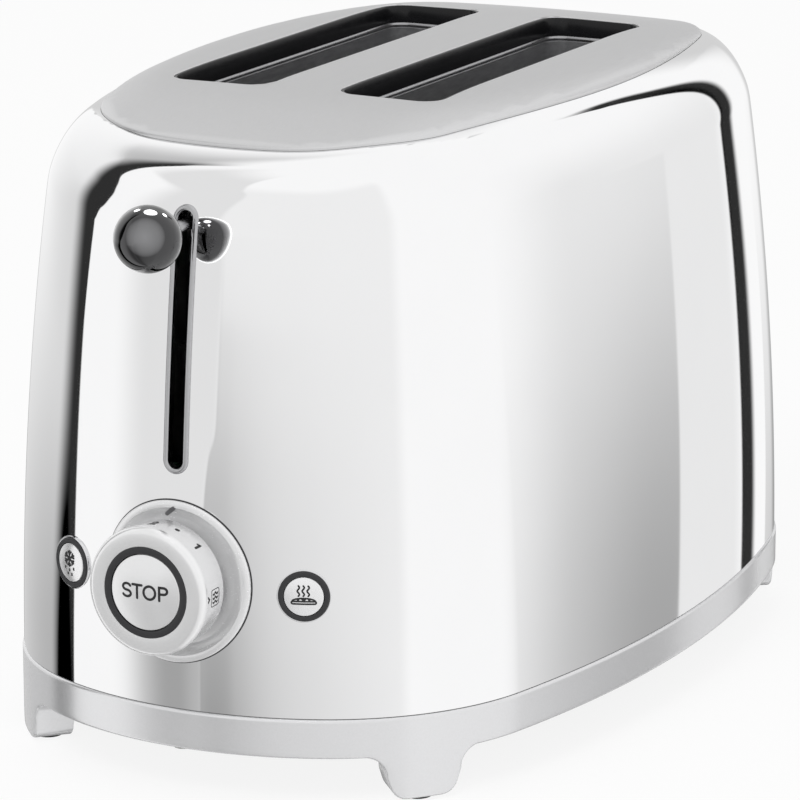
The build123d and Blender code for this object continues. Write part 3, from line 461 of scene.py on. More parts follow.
casing_size = (
    half_width,
    half_length,
    corner_side_inset,
    corner_depth(end_radius, corner_radius, half_width - corner_side_inset),
    corner_radius,
)
plate_size = (
    plate_half_width,
    plate_half_length,
    plate_corner_side_inset,
    corner_depth(plate_end_radius, plate_corner_radius, plate_half_width - plate_corner_side_inset),
    plate_corner_radius,
)


def size_at(z):
    """Plan of the casing at height z."""
    share = side_inset(z) / (half_width - plate_half_width)
    corner = [a + (b - a) * share for a, b in zip(casing_size[2:], plate_size[2:])]
    return (half_width - side_inset(z), half_length - end_inset(z), *corner)


def plan_arcs(size):
    """The eight arcs of a plan: centre, radius, first and last angle. It starts on the +X side."""
    half_w, half_l, inset_x, inset_y, corner_r = size
    cx, cy = half_w - inset_x, half_l - inset_y
    side_r = (inset_x**2 + cy**2 - corner_r**2) / (2 * (inset_x - corner_r))
    end_r = (cx**2 + inset_y**2 - corner_r**2) / (2 * (inset_y - corner_r))
    sx, ey = half_w - side_r, half_l - end_r
    low, high = atan2(cy, cx - sx), atan2(cy - ey, cx)
    return (
        (sx, 0, side_r, -low, low),
        (cx, cy, corner_r, low, high),
        (0, ey, end_r, high, pi - high),
        (-cx, cy, corner_r, pi - high, pi - low),
        (-sx, 0, side_r, pi - low, pi + low),
        (-cx, -cy, corner_r, pi + low, pi + high),
        (0, -ey, end_r, pi + high, 2 * pi - high),
        (cx, -cy, corner_r, -high, -low),
    )


def on_plan(size, arc, share, grow=0.0):
    """Point at a share of one arc of a plan, and the direction that faces out there."""
    x, y, radius, first, last = plan_arcs(size)[arc]
    angle = first + (last - first) * share
    reach = radius + grow
    return (x + reach * cos(angle), y + reach * sin(angle), cos(angle), sin(angle))


def outside_plan(size, x, y):
    """Distance of a point outside a plan, negative inside it."""
    side, corner, end = plan_arcs(size)[:3]
    x, y = abs(x), abs(y)
    if atan2(y, x - side[0]) < side[4]:
        return hypot(x - side[0], y) - side[2]
    if atan2(y - end[1], x) > end[3]:
        return hypot(x, y - end[1]) - end[2]
    return hypot(x - corner[0], y - corner[1]) - corner[2]


def end_surface(x, z):
    """Y of the casing's curved control end at x and z."""
    _, centre_y, radius, _, _ = plan_arcs(size_at(z))[6]
    return centre_y - sqrt(radius**2 - x**2)


def evenly(count):
    """Shares of an arc that start at its first end and stop short of its last."""
    return [k / count for k in range(count)]


def put(name, points, faces, paint, body="toaster", replaces=(), crease=35, normals=None):
    """Make a piece from points in millimetres, give it its finish and let it ride on its body."""
    mesh = bpy.data.meshes.new(name)
    mesh.from_pydata([(x * mm, y * mm + middle_y, z * mm) for x, y, z in points], [], faces)
    mesh.shade_smooth()
    if normals:
        mesh.normals_split_custom_set(normals)
    else:
        mesh.set_sharp_from_angle(angle=radians(crease))
    mesh.materials.append(paint)
    piece = bpy.data.objects.new(name, mesh)
    bpy.context.scene.collection.objects.link(piece)
    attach(piece, body)
    if replaces:
        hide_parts(*replaces)
    return piece


def finish(
    name, colour, rough, grain, stretch=(1, 1, 1), tone=0.05, uneven=0.15, relief=0.0, **sockets
):
    """Material with a grain of real size (in millimetres) in its colour, its gloss and its relief."""
    made = bpy.data.materials.new(name)
    made.use_nodes = True
    tree = made.node_tree
    shader = tree.nodes["Principled BSDF"]
    for key, value in sockets.items():
        shader.inputs[key.replace("_", " ")].default_value = value
    place = link(tree, "Mapping", link(tree, "TexCoord", out=3), None, None, stretch)
    noise = link(tree, "TexNoise", place, None, 1 / (grain * mm), grain_detail, grain_fineness)
    low = [max(c * (1 - tone), 0.0) for c in colour]
    high = [min(c * (1 + tone), 1.0) for c in colour]
    tint = tree.nodes.new("ShaderNodeValToRGB")
    tint.color_ramp.elements[0].position = grain_low
    tint.color_ramp.elements[1].position = grain_high
    tint.color_ramp.elements[0].color = (*low, 1)
    tint.color_ramp.elements[1].color = (*high, 1)
    tree.links.new(noise, tint.inputs[0])
    tree.links.new(tint.outputs[0], shader.inputs["Base Color"])
    least, most = rough * (1 - uneven), rough * (1 + uneven)
    gloss = link(tree, "MapRange", noise, grain_low, grain_high, least, most)
    tree.links.new(gloss, shader.inputs["Roughness"])
    if relief:
        bump = tree.nodes.new("ShaderNodeBump")
        bump.inputs["Strength"].default_value = 1.0
        bump.inputs["Distance"].default_value = relief * mm
        tree.links.new(noise, bump.inputs["Height"])
        tree.links.new(bump.outputs[0], shader.inputs["Normal"])
    return made


mirror_steel = finish(
    "mirror_steel", (0.93, 0.93, 0.935), rough=0.035, grain=60.0, tone=0.01, uneven=0.3,
    Metallic=1.0,
)
dial_z = 64.6
dial_hole = 22.3
bezel_z = dial_z - 0.9
button_x = 38.0
button_z = 62.4
button_hole = 6.55
lever_slot_low = 96.5
lever_slot_high = 169.5
lever_slot_width = 4.7
lever_hole = 3.2
rim_lowest = 180.0
rim_allowance = 0.3
skin_step = 0.02
front_arc = plan_arcs(size_at(button_z))[6]
button_turn = asin(button_x / front_arc[2])
button_y = front_arc[1] - front_arc[2] * cos(button_turn)
near_end = [1 - (1 - k / 40) ** 1.6 for k in range(40)]
near_start = [(k / 40) ** 1.6 for k in range(40)]
shares_by_arc = (
    evenly(24), evenly(24), evenly(20), evenly(24), evenly(24), near_end, evenly(110), near_start,
)
casing_columns = [(arc, share) for arc, shares in enumerate(shares_by_arc) for share in shares]
# The rows of the wall stand closer together where the holes for the controls are.
even_rows = [26.2 + 3.1 * k for k in range(9)] + [54 + 0.75 * k for k in range(24)]
even_rows += [72 + 3 * k for k in range(7)] + [93 + 0.75 * k for k in range(8)]
even_rows += [99 + 4 * k for k in range(17)] + [166.5 + 0.7 * k for k in range(9)]
shoulder_rows = [sin(radians(90 * k / 34)) for k in range(1, 35)]


def skin(arc, share, z):
    """Point of the casing's wall at height z with its true outward direction."""
    x, y, nx, ny = on_plan(size_at(z), arc, share)
    below_x, below_y, _, _ = on_plan(size_at(z - skin_step), arc, share)
    slope = ((x - below_x) * nx + (y - below_y) * ny) / skin_step
    return (x, y, z), Vector((nx, ny, -slope)).normalized()


def rim_height(arc, share):
    """Height at which a column of the casing wall meets the edge of the top plate."""
    low, high = rim_lowest, side_rim_z + rim_allowance
    for _ in range(24):
        z = (low + high) / 2
        x, y, _, _ = on_plan(size_at(z), arc, share)
        if outside_plan(plate_size, x, y) > plate_gap:
            low = z
        else:
            high = z
    return low


def in_control_hole(x, y, z):
    """True inside the holes for the lever, the dial's bezel and the side buttons."""
    if y > 0:
        return False
    straight = (lever_slot_high - lever_slot_low - lever_slot_width) / 2
    above = abs(z - (lever_slot_high + lever_slot_low) / 2) - straight
    if hypot(x, max(above, 0.0)) < lever_hole or hypot(x, z - bezel_z) < dial_hole:
        return True
    across = (abs(x) - button_x) * cos(button_turn) + (y - button_y) * sin(button_turn)
    return hypot(across, z - button_z) < button_hole


def shell(name, columns, thickness, hole, paint, replaces):
    """Sheet piece from columns of (point, normal), closed round its ends and round its holes."""
    wide, tall = len(columns), len(columns[0])
    outer = [spot for column in columns for spot in column]
    points = [p for p, _ in outer]
    points += [tuple(Vector(p) - n * thickness) for p, n in outer]
    under = len(outer)
    kept = {}
    for c in range(wide):
        for r in range(tall - 1):
            here, following = c * tall + r, (c + 1) % wide * tall + r
            ring = (here, following, following + 1, here + 1)
            centre = [sum(points[i][axis] for i in ring) / 4 for axis in range(3)]
            if not hole(*centre):
                kept[c, r] = ring
    faces, normals = [], []
    for (c, r), ring in kept.items():
        faces.append(ring)
        normals += [outer[i][1] for i in ring]
        faces.append(tuple(under + i for i in reversed(ring)))
        normals += [-outer[i][1] for i in reversed(ring)]
        neighbours = ((c, r - 1), ((c + 1) % wide, r), (c, r + 1), ((c - 1) % wide, r))
        for k, cell in enumerate(neighbours):
            if cell in kept:
                continue
            a, b = ring[k], ring[(k + 1) % 4]
            faces.append((b, a, under + a, under + b))
            edge = Vector(points[b]) - Vector(points[a])
            normals += [edge.cross(outer[a][1]).normalized()] * 4
    return put(name, points, faces, paint, replaces=replaces, normals=normals)


# The crowned plate stands a little above the even walls, so the shoulder's rows are drawn up to it.
columns = []
for arc, share in casing_columns:
    top = rim_height(arc, share)
    start = even_rows[-1]
    rim_x, rim_y, _, _ = on_plan(size_at(top), arc, share)
    lift = crown_z(rim_x, rim_y) - plate_sheet - top
    column = [skin(arc, share, z) for z in even_rows]
    for share_up in shoulder_rows:
        z = start + (top - start) * share_up
        (x, y, _), facing = skin(arc, share, z)
        rise_here = share_up * share_up * (3 - 2 * share_up)
        stretch = 1 + lift * 6 * share_up * (1 - share_up) / (top - start)
        facing = Vector((facing.x, facing.y, facing.z / stretch)).normalized()
        column.append(((x, y, z + lift * rise_here), facing))
    columns.append(column)
shell("casing_shell", columns, sheet, in_control_hole, mirror_steel, ["casing"])


# Top plate: a stainless sheet, crowned along its length and rolled down at the sides, brushed
# lengthwise. The two bread slots are pierced through the flat field in its middle.
slot_centre = 28.0
slot_half_width = 16.8
slot_half_length = 73.0
slot_corner = 7.0
plate_edge = 0.5
slot_edge = 0.35
grid_across = 3.0
grid_along = 4.05
grid_edge_gap = 2.0
grid_slot_gap = 1.4
skin_overlap = 0.05
satin_steel = finish(
    "satin_steel", (0.70, 0.70, 0.705), rough=0.36, grain=0.35, stretch=(1, 0.03, 1), tone=0.03,
    uneven=0.12, relief=0.0015, Metallic=1.0,
)


def slot_outline(centre, grow=0.0, along=24, across=6, round_steps=9):
    """Points round a bread slot with their directions away from it, the same count at any growth."""
    points = []
    flat_x, flat_y = slot_half_width - slot_corner, slot_half_length - slot_corner
    reach = slot_corner + grow
    quarters = ((1, 1), (-1, 1), (-1, -1), (1, -1))
    for k, (sx, sy) in enumerate(quarters):
        for step in range(round_steps):
            angle = pi / 2 * (k + step / round_steps)
            nx, ny = cos(angle), sin(angle)
            points.append((centre + sx * flat_x + reach * nx, sy * flat_y + reach * ny, nx, ny))
        angle = pi / 2 * (k + 1)
        nx, ny = cos(angle), sin(angle)
        count = across if k % 2 == 0 else along
        length = 2 * (flat_x if k % 2 == 0 else flat_y)
        start = (centre + sx * flat_x + reach * nx, sy * flat_y + reach * ny)
        for step in range(count):
            gone = length * step / count
            points.append((start[0] - ny * gone, start[1] + nx * gone, nx, ny))
    return points


def plate_sheet_mesh():
    """Points and faces of the pierced plate: two crowned skins and the rounded edges between."""
    columns = [(arc, share) for arc in range(8) for share in evenly(30 if arc % 2 else 26)]
    loops = [[on_plan(plate_size, arc, share) for arc, share in columns]]
    for side in (-1, 1):
        loops.append([(x, y, -nx, -ny) for x, y, nx, ny in slot_outline(side * slot_centre)])
    insets = (plate_edge, slot_edge, slot_edge)
    flat, rings = [], []
    for loop, inset in zip(loops, insets):
        rings.append(range(len(flat), len(flat) + len(loop)))
        flat += [(x - nx * inset, y - ny * inset) for x, y, nx, ny in loop]
    edges = [(ring[k], ring[(k + 1) % len(ring)]) for ring in rings for k in range(len(ring))]
    for i in range(-23, 24):
        for j in range(-30, 31):
            x, y = grid_across * i, grid_along * j
            aside = max(abs(abs(x) - slot_centre) - slot_half_width, abs(y) - slot_half_length)
            if outside_plan(plate_size, x, y) < -grid_edge_gap and aside > grid_slot_gap:
                flat.append((x, y))
    found, _, triangles, origins, _, _ = delaunay_2d_cdt(
        [Vector(p) for p in flat], edges, [], 1, 1e-6, True
    )
    place_of = {source: k for k, sources in enumerate(origins) for source in sources}
    points, faces = [(x, y, crown_z(x, y)) for x, y in found], []
    count = len(points)
    points += [(x, y, z - plate_sheet) for x, y, z in points]
    for triangle in triangles:
        x, y = (sum(found[i][axis] for i in triangle) / 3 for axis in range(2))
        past_side = abs(abs(x) - slot_centre) - slot_half_width
        past_end = abs(y) - slot_half_length
        aside = max(past_side, past_end)
        if min(past_side, past_end) > -slot_corner:
            aside = hypot(past_side + slot_corner, past_end + slot_corner) - slot_corner
        if aside < 0:
            continue
        a, b, c = (Vector(found[i]) for i in triangle)
        ring = triangle if (b - a).cross(c - a) > 0 else tuple(reversed(triangle))
        faces.append(tuple(ring))
        faces.append(tuple(count + i for i in reversed(ring)))
    for loop, ring, inset in zip(loops, rings, insets):
        last = [place_of[i] for i in ring]
        strips = []
        for step in range(1, 6):
            angle = pi / 8 * min(step, 4)
            layer = []
            for x, y, nx, ny in loop:
                z = crown_z(x, y) - inset * (1 - cos(angle))
                grow = inset * (sin(angle) - 1)
                if step == 5:
                    z = crown_z(x, y) - plate_sheet + skin_overlap
                layer.append(len(points))
                points.append((x + nx * grow, y + ny * grow, z))
            strips.append((last, layer))
            last = layer
        strips.append((last, [count + place_of[i] for i in ring]))
        for upper, lower in strips:
            for k in range(len(loop)):
                m = (k + 1) % len(loop)
                face = (upper[k], lower[k], lower[m], upper[m])
                faces.append(face if inset == plate_edge else face[::-1])
    return points, faces


points, faces = plate_sheet_mesh()
put("crowned_plate", points, faces, satin_steel, replaces=["top_plate"])


# Slot liners: pressed collars in gloss black enamel, hung in the slots from a flange under the
# plate. The chamber's own steel collar follows below each, its top edge rolled into a bead.
liner_gap = 0.15
liner_wall = 0.8
liner_low = 187.0
liner_recess = 0.3
liner_flange = 4.0
collar_low = 168.0
collar_bead = 1.6
collar_bead_width = 1.3
black_enamel = finish(
    "black_enamel", (0.008, 0.008, 0.009), rough=0.22, grain=3.0, relief=0.004,
    Specular_IOR_Level=0.3,
)
collar_steel = finish(
    "collar_steel", (0.30, 0.30, 0.31), rough=0.38, grain=1.2, stretch=(1, 0.2, 1), tone=0.15,
    relief=0.003, Metallic=0.6,
)
bright_edge = finish("bright_edge", (0.42, 0.42, 0.43), rough=0.3, grain=2.0, Metallic=1.0)


def slot_ring(name, centre, section, paint, replaces):
    """Closed section carried round a bread slot. Its points are (growth, height, below the crown)."""
    rings = []
    for grow, z, hangs in section:
        ring = []
        for x, y, _, _ in slot_outline(centre, grow):
            ring.append((x, y, crown_z(x, y) - z if hangs else z))
        rings.append(ring)
    wide = len(rings[0])
    points = [p for ring in rings for p in ring]
    faces = []
    for r in range(len(rings)):
        lower, upper = r * wide, (r + 1) % len(rings) * wide
        for k in range(wide):
            m = (k + 1) % wide
            faces.append((lower + k, lower + m, upper + m, upper + k))
    return put(name, points, faces, paint, replaces=replaces)


inner = -liner_gap - liner_wall
liner_section = [
    (inner, liner_low, False),
    (-liner_gap, liner_low, False),
    (-liner_gap, plate_sheet + liner_wall, True),
    (liner_flange, plate_sheet + liner_wall, True),
    (liner_flange, plate_sheet, True),
    (-liner_gap, plate_sheet, True),
    (-liner_gap, liner_recess, True),
    (inner + 0.30, liner_recess, True),
    (inner + 0.10, liner_recess + 0.08, True),
    (inner, liner_recess + 0.30, True),
]
bead_middle = -liner_gap - collar_bead_width / 2
bead_z = liner_low - collar_bead / 2
collar_section = [(-liner_gap, collar_low, False), (-liner_gap, bead_z, False)]
for step in range(1, 8):
    angle = pi * step / 8
    across = bead_middle + collar_bead_width / 2 * cos(angle)
    collar_section.append((across, bead_z + collar_bead / 2 * sin(angle), False))
collar_section += [
    (-liner_gap - collar_bead_width, bead_z, False),
    (bead_middle, liner_low - collar_bead, False),
    (inner, liner_low - collar_bead - 0.2, False),
    (inner, collar_low, False),
]
for name, side in (("left", -1), ("right", 1)):
    slot_ring(
        f"enamel_liner_{name}", side * slot_centre, liner_section, black_enamel,
        [f"slot_liner_{name}"],
    )
    made = slot_ring(
        f"rolled_collar_{name}", side * slot_centre, collar_section, collar_steel,
        [f"chamber_collar_{name}"],
    )
    made.data.materials.append(bright_edge)
    for polygon in made.data.polygons:
        if polygon.center.z > (liner_low - collar_bead - 0.1) * mm:
            polygon.material_index = 1


# Skirt: a cast ring in satin silver on which the casing stands, with a foot at each corner and a
# doorway at the back for the crumb tray. Its edges are rounded as cast parts are.
skirt_grow = 0.5
skirt_wall = 2.4
skirt_low = 14.3
base_bottom = 14.8
door_low = 18.6
door_high = 25.0
door_half_width = 50.0
jamb_clearance = 0.025
foot_angle = radians(40.6)
foot_angles = (foot_angle, pi - foot_angle, pi + foot_angle, -foot_angle)
foot_depth = 12.0
foot_toe = 9.0
foot_waist = 11.3
foot_flare = 6.8
flare_start = 0.3
toe_round = 5.0
pad_height = 1.0
edge_round = 1.0
inner_round = 0.3
skirt_rim = ((0.9, 0.0), (0.45, 0.12), (0.12, 0.45), (0.0, 0.9))
skirt_face_low = 16.0
foot_face_low = 14.0
foot_starts = 13.0
satin_silver = finish(
    "satin_silver", (0.77, 0.77, 0.78), rough=0.19, grain=0.6, tone=0.02, uneven=0.12,
    Metallic=0.62,
)


def eased(corners, steps=5):
    """Section with rounded corners. Each corner is (across, up, radius)."""
    points = []
    for k, (x, y, radius) in enumerate(corners):
        if not radius:
            points.append((x, y))
            continue
        here = Vector((x, y))
        before = (Vector(corners[k - 1][:2]) - here).normalized()
        after = (Vector(corners[(k + 1) % len(corners)][:2]) - here).normalized()
        half = before.angle(after) / 2
        centre = here + (before + after).normalized() * (radius / sin(half))
        start = here + before * (radius / tan(half)) - centre
        stop = here + after * (radius / tan(half)) - centre
        first = atan2(start.y, start.x)
        swing = (atan2(stop.y, stop.x) - first + pi) % (2 * pi) - pi
        for step in range(steps + 1):
            angle = first + swing * step / steps
            points.append((centre.x + radius * cos(angle), centre.y + radius * sin(angle)))
    return points


def with_jamb(angles, jamb):
    """Angles of some columns, with one on the side of the doorway and none close beside it."""
    return sorted([angle for angle in angles if abs(angle - jamb) > jamb_clearance] + [jamb])


def skirt_columns():
    """Columns round the skirt: arc, angle, lower edge height, and whether a foot is there."""
    flare_z = skirt_low - foot_flare
    half_foot = [(foot_waist + foot_flare + flare_start, skirt_low)]
    for step in range(13):
        angle = pi / 2 * step / 12
        along = foot_waist + foot_flare * (1 - sin(angle))
        half_foot.append((along, flare_z + foot_flare * cos(angle)))
    lean = (foot_toe - foot_waist) / (pad_height - flare_z)
    slant = atan2(foot_waist - foot_toe, flare_z - pad_height)
    bend = pi / 2 - slant
    reach = toe_round * tan(bend / 2)
    centre = (foot_toe - reach, pad_height + toe_round)
    for step in range(1, 5):
        z = flare_z + (pad_height + reach * cos(slant) - flare_z) * step / 5
        half_foot.append((foot_waist + lean * (z - flare_z), z))
    for step in range(7):
        angle = -slant - bend * step / 6
        half_foot.append((centre[0] + toe_round * cos(angle), centre[1] + toe_round * sin(angle)))
    half_foot.append((foot_toe / 2, pad_height))
    foot = [(along, z) for along, z in half_foot] + [(0.0, pad_height)]
    foot += [(-along, z) for along, z in reversed(half_foot)]
    arcs = plan_arcs([length + skirt_grow for length in casing_size])
    jamb = acos((door_half_width - arcs[1][0]) / arcs[1][2])
    found = []
    for arc, (_, _, radius, first, last) in enumerate(arcs):
        if arc % 2 == 0:
            found += [(arc, first + (last - first) * s, skirt_low, False) for s in evenly(30)]
            continue
        middle = foot_angles[arc // 2]
        spots = [(middle - asin(along / radius), z, True) for along, z in foot]
        start = spots[-1][0]
        before = [first + (spots[0][0] - first) * s for s in evenly(10)]
        after = [start + (last - start) * (s + 0.1) / 1.1 for s in evenly(10)]
        if arc == 1:
            after = with_jamb(after, jamb)
        if arc == 3:
            before = with_jamb(before, pi - jamb)
        found += [(arc, angle, skirt_low, False) for angle in before]
        found += [(arc, angle, z, inside) for angle, z, inside in spots]
        found += [(arc, angle, skirt_low, False) for angle in after]
    return arcs, found


arcs, found = skirt_columns()
sections = []
for arc, angle, low, on_foot in found:
    x, y, radius, _, _ = arcs[arc]
    depth = foot_depth if on_foot and low < skirt_low - 0.001 else skirt_wall
    edge = min(edge_round, max(inner_round, depth / 3))
    face_low = max(low + edge, skirt_face_low) if low > foot_starts else foot_face_low
    section = [(skirt_wall, seam_z)] + [(inset, seam_z - down) for inset, down in skirt_rim]
    section += [(0.0, door_high), (0.0, door_low), (0.0, face_low)]
    for step in range(6):
        bend = pi / 2 * step / 5
        section.append((edge * (1 - cos(bend)), low + edge * (1 - sin(bend))))
    section += [(depth - inner_round, low), (depth, low + inner_round)]
    section += [(depth, base_bottom), (skirt_wall, base_bottom)]
    section += [(skirt_wall, door_low), (skirt_wall, door_high)]
    outer_x, outer_y = x + radius * cos(angle), y + radius * sin(angle)
    inward = (-cos(angle), -sin(angle))
    if outer_y > 0 and abs(abs(outer_x) - door_half_width) < 0.001:
        inward = (0.0, -1 / sin(angle))
    sections.append([(outer_x + inward[0] * d, outer_y + inward[1] * d, z) for d, z in section])
tall = len(sections[0])
points = [p for section in sections for p in section]
outer_high, outer_low, inner_low, inner_high = 5, 6, tall - 2, tall - 1
door_cells = set()
for c in range(len(sections)):
    a, b = sections[c][outer_high], sections[(c + 1) % len(sections)][outer_high]
    if a[1] > 0 and abs(a[0] + b[0]) / 2 < door_half_width:
        door_cells.add(c)
faces = []
for c in range(len(sections)):
    here, ahead = c * tall, (c + 1) % len(sections) * tall
    for r in range(tall):
        if c in door_cells and r in (outer_high, inner_low):
            continue
        s = (r + 1) % tall
        faces.append((here + r, here + s, ahead + s, ahead + r))
    if c in door_cells:
        lintel = ((here, outer_high), (ahead, outer_high), (ahead, inner_high), (here, inner_high))
        sill = ((here, outer_low), (here, inner_low), (ahead, inner_low), (ahead, outer_low))
        faces += [tuple(column + row for column, row in side) for side in (lintel, sill)]
        if (c - 1) % len(sections) not in door_cells:
            near_jamb = (outer_high, inner_high, inner_low, outer_low)
            faces.append(tuple(here + row for row in near_jamb))
        if (c + 1) % len(sections) not in door_cells:
            far_jamb = (outer_high, outer_low, inner_low, inner_high)
            faces.append(tuple(ahead + row for row in far_jamb))
put("cast_skirt", points, faces, satin_silver, replaces=["base_skirt"], crease=50)


# Base: a black moulding screwed up into the skirt, with a round rubber pad let in under each foot
# and a rubber gland where the supply cord would leave. Screws and terminals are bought parts.
pad_radius = 4.4
pad_inset = 6.4
pad_let_in = 0.4
pad_steps = 40


def dress(node, paint, soften=0.0):
    """Give a carried-over piece its finish, and soften its edges by a width in millimetres."""
    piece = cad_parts[node]
    piece.data.materials.clear()
    piece.data.materials.append(paint)
    if soften:
        bevel = piece.modifiers.new("softened", "BEVEL")
        bevel.width = soften * mm
        bevel.segments = 2
        bevel.limit_method = "ANGLE"
        bevel.angle_limit = radians(40)
        bevel.use_clamp_overlap = True


black_moulding = finish(
    "black_moulding", (0.022, 0.022, 0.023), rough=0.48, grain=0.4, tone=0.15, relief=0.02
)
black_rubber = finish(
    "black_rubber", (0.018, 0.018, 0.018), rough=0.7, grain=0.25, tone=0.2, relief=0.02
)
screw_steel = finish(
    "screw_steel", (0.55, 0.55, 0.54), rough=0.3, grain=0.8, tone=0.08, Metallic=1.0
)
dress("base_plate", black_moulding, 0.3)
dress("cord_gland", black_rubber, 0.3)
dress("base_screws", screw_steel, 0.2)
dress("terminal_block", black_moulding, 0.2)
pad_top = pad_height + pad_let_in
points, faces = [], []
for quarter, middle in enumerate(foot_angles):
    centre_x, centre_y, radius, _, _ = arcs[2 * quarter + 1]
    pad_x = centre_x + (radius - pad_inset) * cos(middle)
    pad_y = centre_y + (radius - pad_inset) * sin(middle)
    corners = [(0, 0, 0), (pad_radius, 0, 0.35), (pad_radius, pad_top, 0.2), (0, pad_top, 0)]
    profile = eased(corners, 4)
    for reach, z in profile[1:-1]:
        for step in range(pad_steps):
            angle = 2 * pi * step / pad_steps
            points.append((pad_x + reach * cos(angle), pad_y + reach * sin(angle), z))
    rows = len(profile) - 2
    first = len(points) - rows * pad_steps
    faces.append(tuple(first + k for k in reversed(range(pad_steps))))
    faces.append(tuple(first + (rows - 1) * pad_steps + k for k in range(pad_steps)))
    for row in range(rows - 1):
        lower, upper = first + row * pad_steps, first + (row + 1) * pad_steps
        for k in range(pad_steps):
            m = (k + 1) % pad_steps
            faces.append((lower + k, lower + m, upper + m, upper + k))
put("rubber_pads", points, faces, black_rubber, replaces=["foot_pads"])


# Crumb tray: a plain tray of steel sheet under the chamber. It slides out through the doorway at
# the back by its satin silver handle.
tray_steel = finish(
    "tray_steel", (0.58, 0.58, 0.58), rough=0.34, grain=0.8, stretch=(1, 0.06, 1), tone=0.06,
    relief=0.002, Metallic=1.0,
)
dress("crumb_tray", tray_steel, 0.15)
dress("tray_handle", satin_silver, 0.35)


# Heating chamber: galvanised bulkheads, bright shields, mica boards wound with flat heating strip
# and wire grids that close on the bread.
chamber_steel = finish(
    "chamber_steel", (0.42, 0.42, 0.42), rough=0.42, grain=6.0, tone=0.18, uneven=0.25,
    Metallic=0.9,
)
bright_sheet = finish(
    "bright_sheet", (0.72, 0.72, 0.72), rough=0.25, grain=3.0, tone=0.04, Metallic=1.0
)
mica_board = finish(
    "mica_board", (0.34, 0.29, 0.21), rough=0.45, grain=1.6, tone=0.3, uneven=0.3, relief=0.02
)
heater_strip = finish(
    "heater_strip", (0.22, 0.20, 0.19), rough=0.45, grain=0.8, tone=0.2, Metallic=1.0
)
bright_wire = finish(
    "bright_wire", (0.60, 0.60, 0.61), rough=0.2, grain=1.0, tone=0.05, Metallic=1.0
)
for node in ("front_bulkhead", "rear_bulkhead", "carriage"):
    dress(node, chamber_steel, 0.15)
for node in ("side_shield_left", "side_shield_right", "centre_shield"):
    dress(node, bright_sheet, 0.1)
for side in ("left", "right"):
    for place in ("outer", "inner"):
        dress(f"element_board_{side}_{place}", mica_board, 0.1)
        dress(f"element_wire_{side}_{place}", heater_strip)
        dress(f"bread_guide_{side}_{place}", bright_wire)
    dress(f"bread_rack_{side}", bright_wire, 0.1)


# Lever: a turned steel stem with a heavy ball in dark plate, which moves in a slot with a bright
# trim let in. Behind the wall are the rods, the spring and the magnet of the lift.
knob_radius = 9.6
lever_z = 165.5
lever_standoff = 20.9
stem_radius = 1.8
stem_bore = 1.85
trim_rim = 1.65
trim_proud = 0.8
trim_depth = 2.2
trim_wall = 0.8
trim_seat = 0.3
trim_shy = 0.1
glow_spread = radians(140)
knob_y = end_face(lever_z) - lever_standoff
chrome_plate = finish(
    "chrome_plate", (0.80, 0.80, 0.81), rough=0.06, grain=8.0, tone=0.02, Metallic=1.0
)
dark_plate = finish(
    "dark_plate", (0.036, 0.036, 0.038), rough=0.06, grain=5.0, tone=0.03, Metallic=1.0,
    Coat_Weight=1.0, Coat_Roughness=0.02,
)
stem_steel = finish(
    "stem_steel", (0.46, 0.46, 0.47), rough=0.22, grain=2.0, tone=0.04, Metallic=1.0
)
trim_steel = finish(
    "trim_steel", (0.48, 0.48, 0.49), rough=0.16, grain=2.0, tone=0.03, Metallic=1.0
)


def lathe(name, profile, place, paint, body="toaster", replaces=(), turn=0.0, count=96):
    """Piece turned on an axis that leaves the casing, from (radius, out) points round its profile.

    A third number in a point is how far it follows the curve of the casing there, from 0 to 1.
    """
    out = Vector((sin(turn), -cos(turn), 0))
    across = Vector((cos(turn), sin(turn), 0))
    centre = Vector(place)
    points, rings = [], []
    for radius, reach, *follows in profile:
        if radius < 1e-6:
            rings.append([len(points)] * count)
            points.append(tuple(centre + out * reach))
            continue
        rings.append(list(range(len(points), len(points) + count)))
        for k in range(count):
            angle = 2 * pi * k / count
            side = across * (radius * cos(angle)) + Vector((0, 0, radius * sin(angle)))
            spot = centre + out * reach + side
            if follows:
                spot.y += follows[0] * (end_surface(spot.x, spot.z) - centre.y)
            points.append(tuple(spot))
    faces = []
    closed = len(rings) if profile[0][0] > 1e-6 else len(rings) - 1
    for r in range(closed):
        first, second = rings[r], rings[(r + 1) % len(rings)]
        for k in range(count):
            m = (k + 1) % count
            ring = (first[k], second[k], second[m], first[m])
            faces.append(tuple(dict.fromkeys(ring)))
    return put(name, points, faces, paint, body, replaces)


ball = []
for step in range(49):
    angle = (pi - asin(stem_bore / knob_radius)) * step / 48
    ball.append((knob_radius * sin(angle), knob_radius * cos(angle)))
ball += [(stem_bore, 0.0), (0.0, 0.0)]
ball[0] = (0.0, knob_radius)
made = lathe(
    "ball_knob", ball, (0, knob_y, lever_z), dark_plate, "lift", ["lever_knob"],
    count=128,
)
ball_only = bpy.data.collections.new("ball_only")
ball_only.objects.link(made)
ball_middle = Vector((0, knob_y * mm + middle_y, lever_z * mm))
ball_lamps = (
    ("glow_lamp", (0.335, -0.88, 0.335), 0.5, 2.6, 23.0),
    ("sky_lamp", (-0.108, 0.413, 0.903), 1.0, 0.5, 12.0),
    ("left_lamp", (-0.600, 0.475, 0.643), 1.0, 0.17, 2.0),
    ("right_lamp", (0.170, 0.767, 0.619), 1.0, 0.16, 2.0),
)
for name, way, distance, size, power in ball_lamps:
    shone = lamp(name, ball_middle + Vector(way) * distance, size, power, ball_middle)
    shone.light_linking.receiver_collection = ball_only
    shone.visible_camera = False
bpy.data.lights["glow_lamp"].spread = glow_spread
stem_low, stem_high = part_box("lever_stem")
stem_back = (stem_high.y - middle_y) / mm
stem_front = (stem_low.y - middle_y) / mm
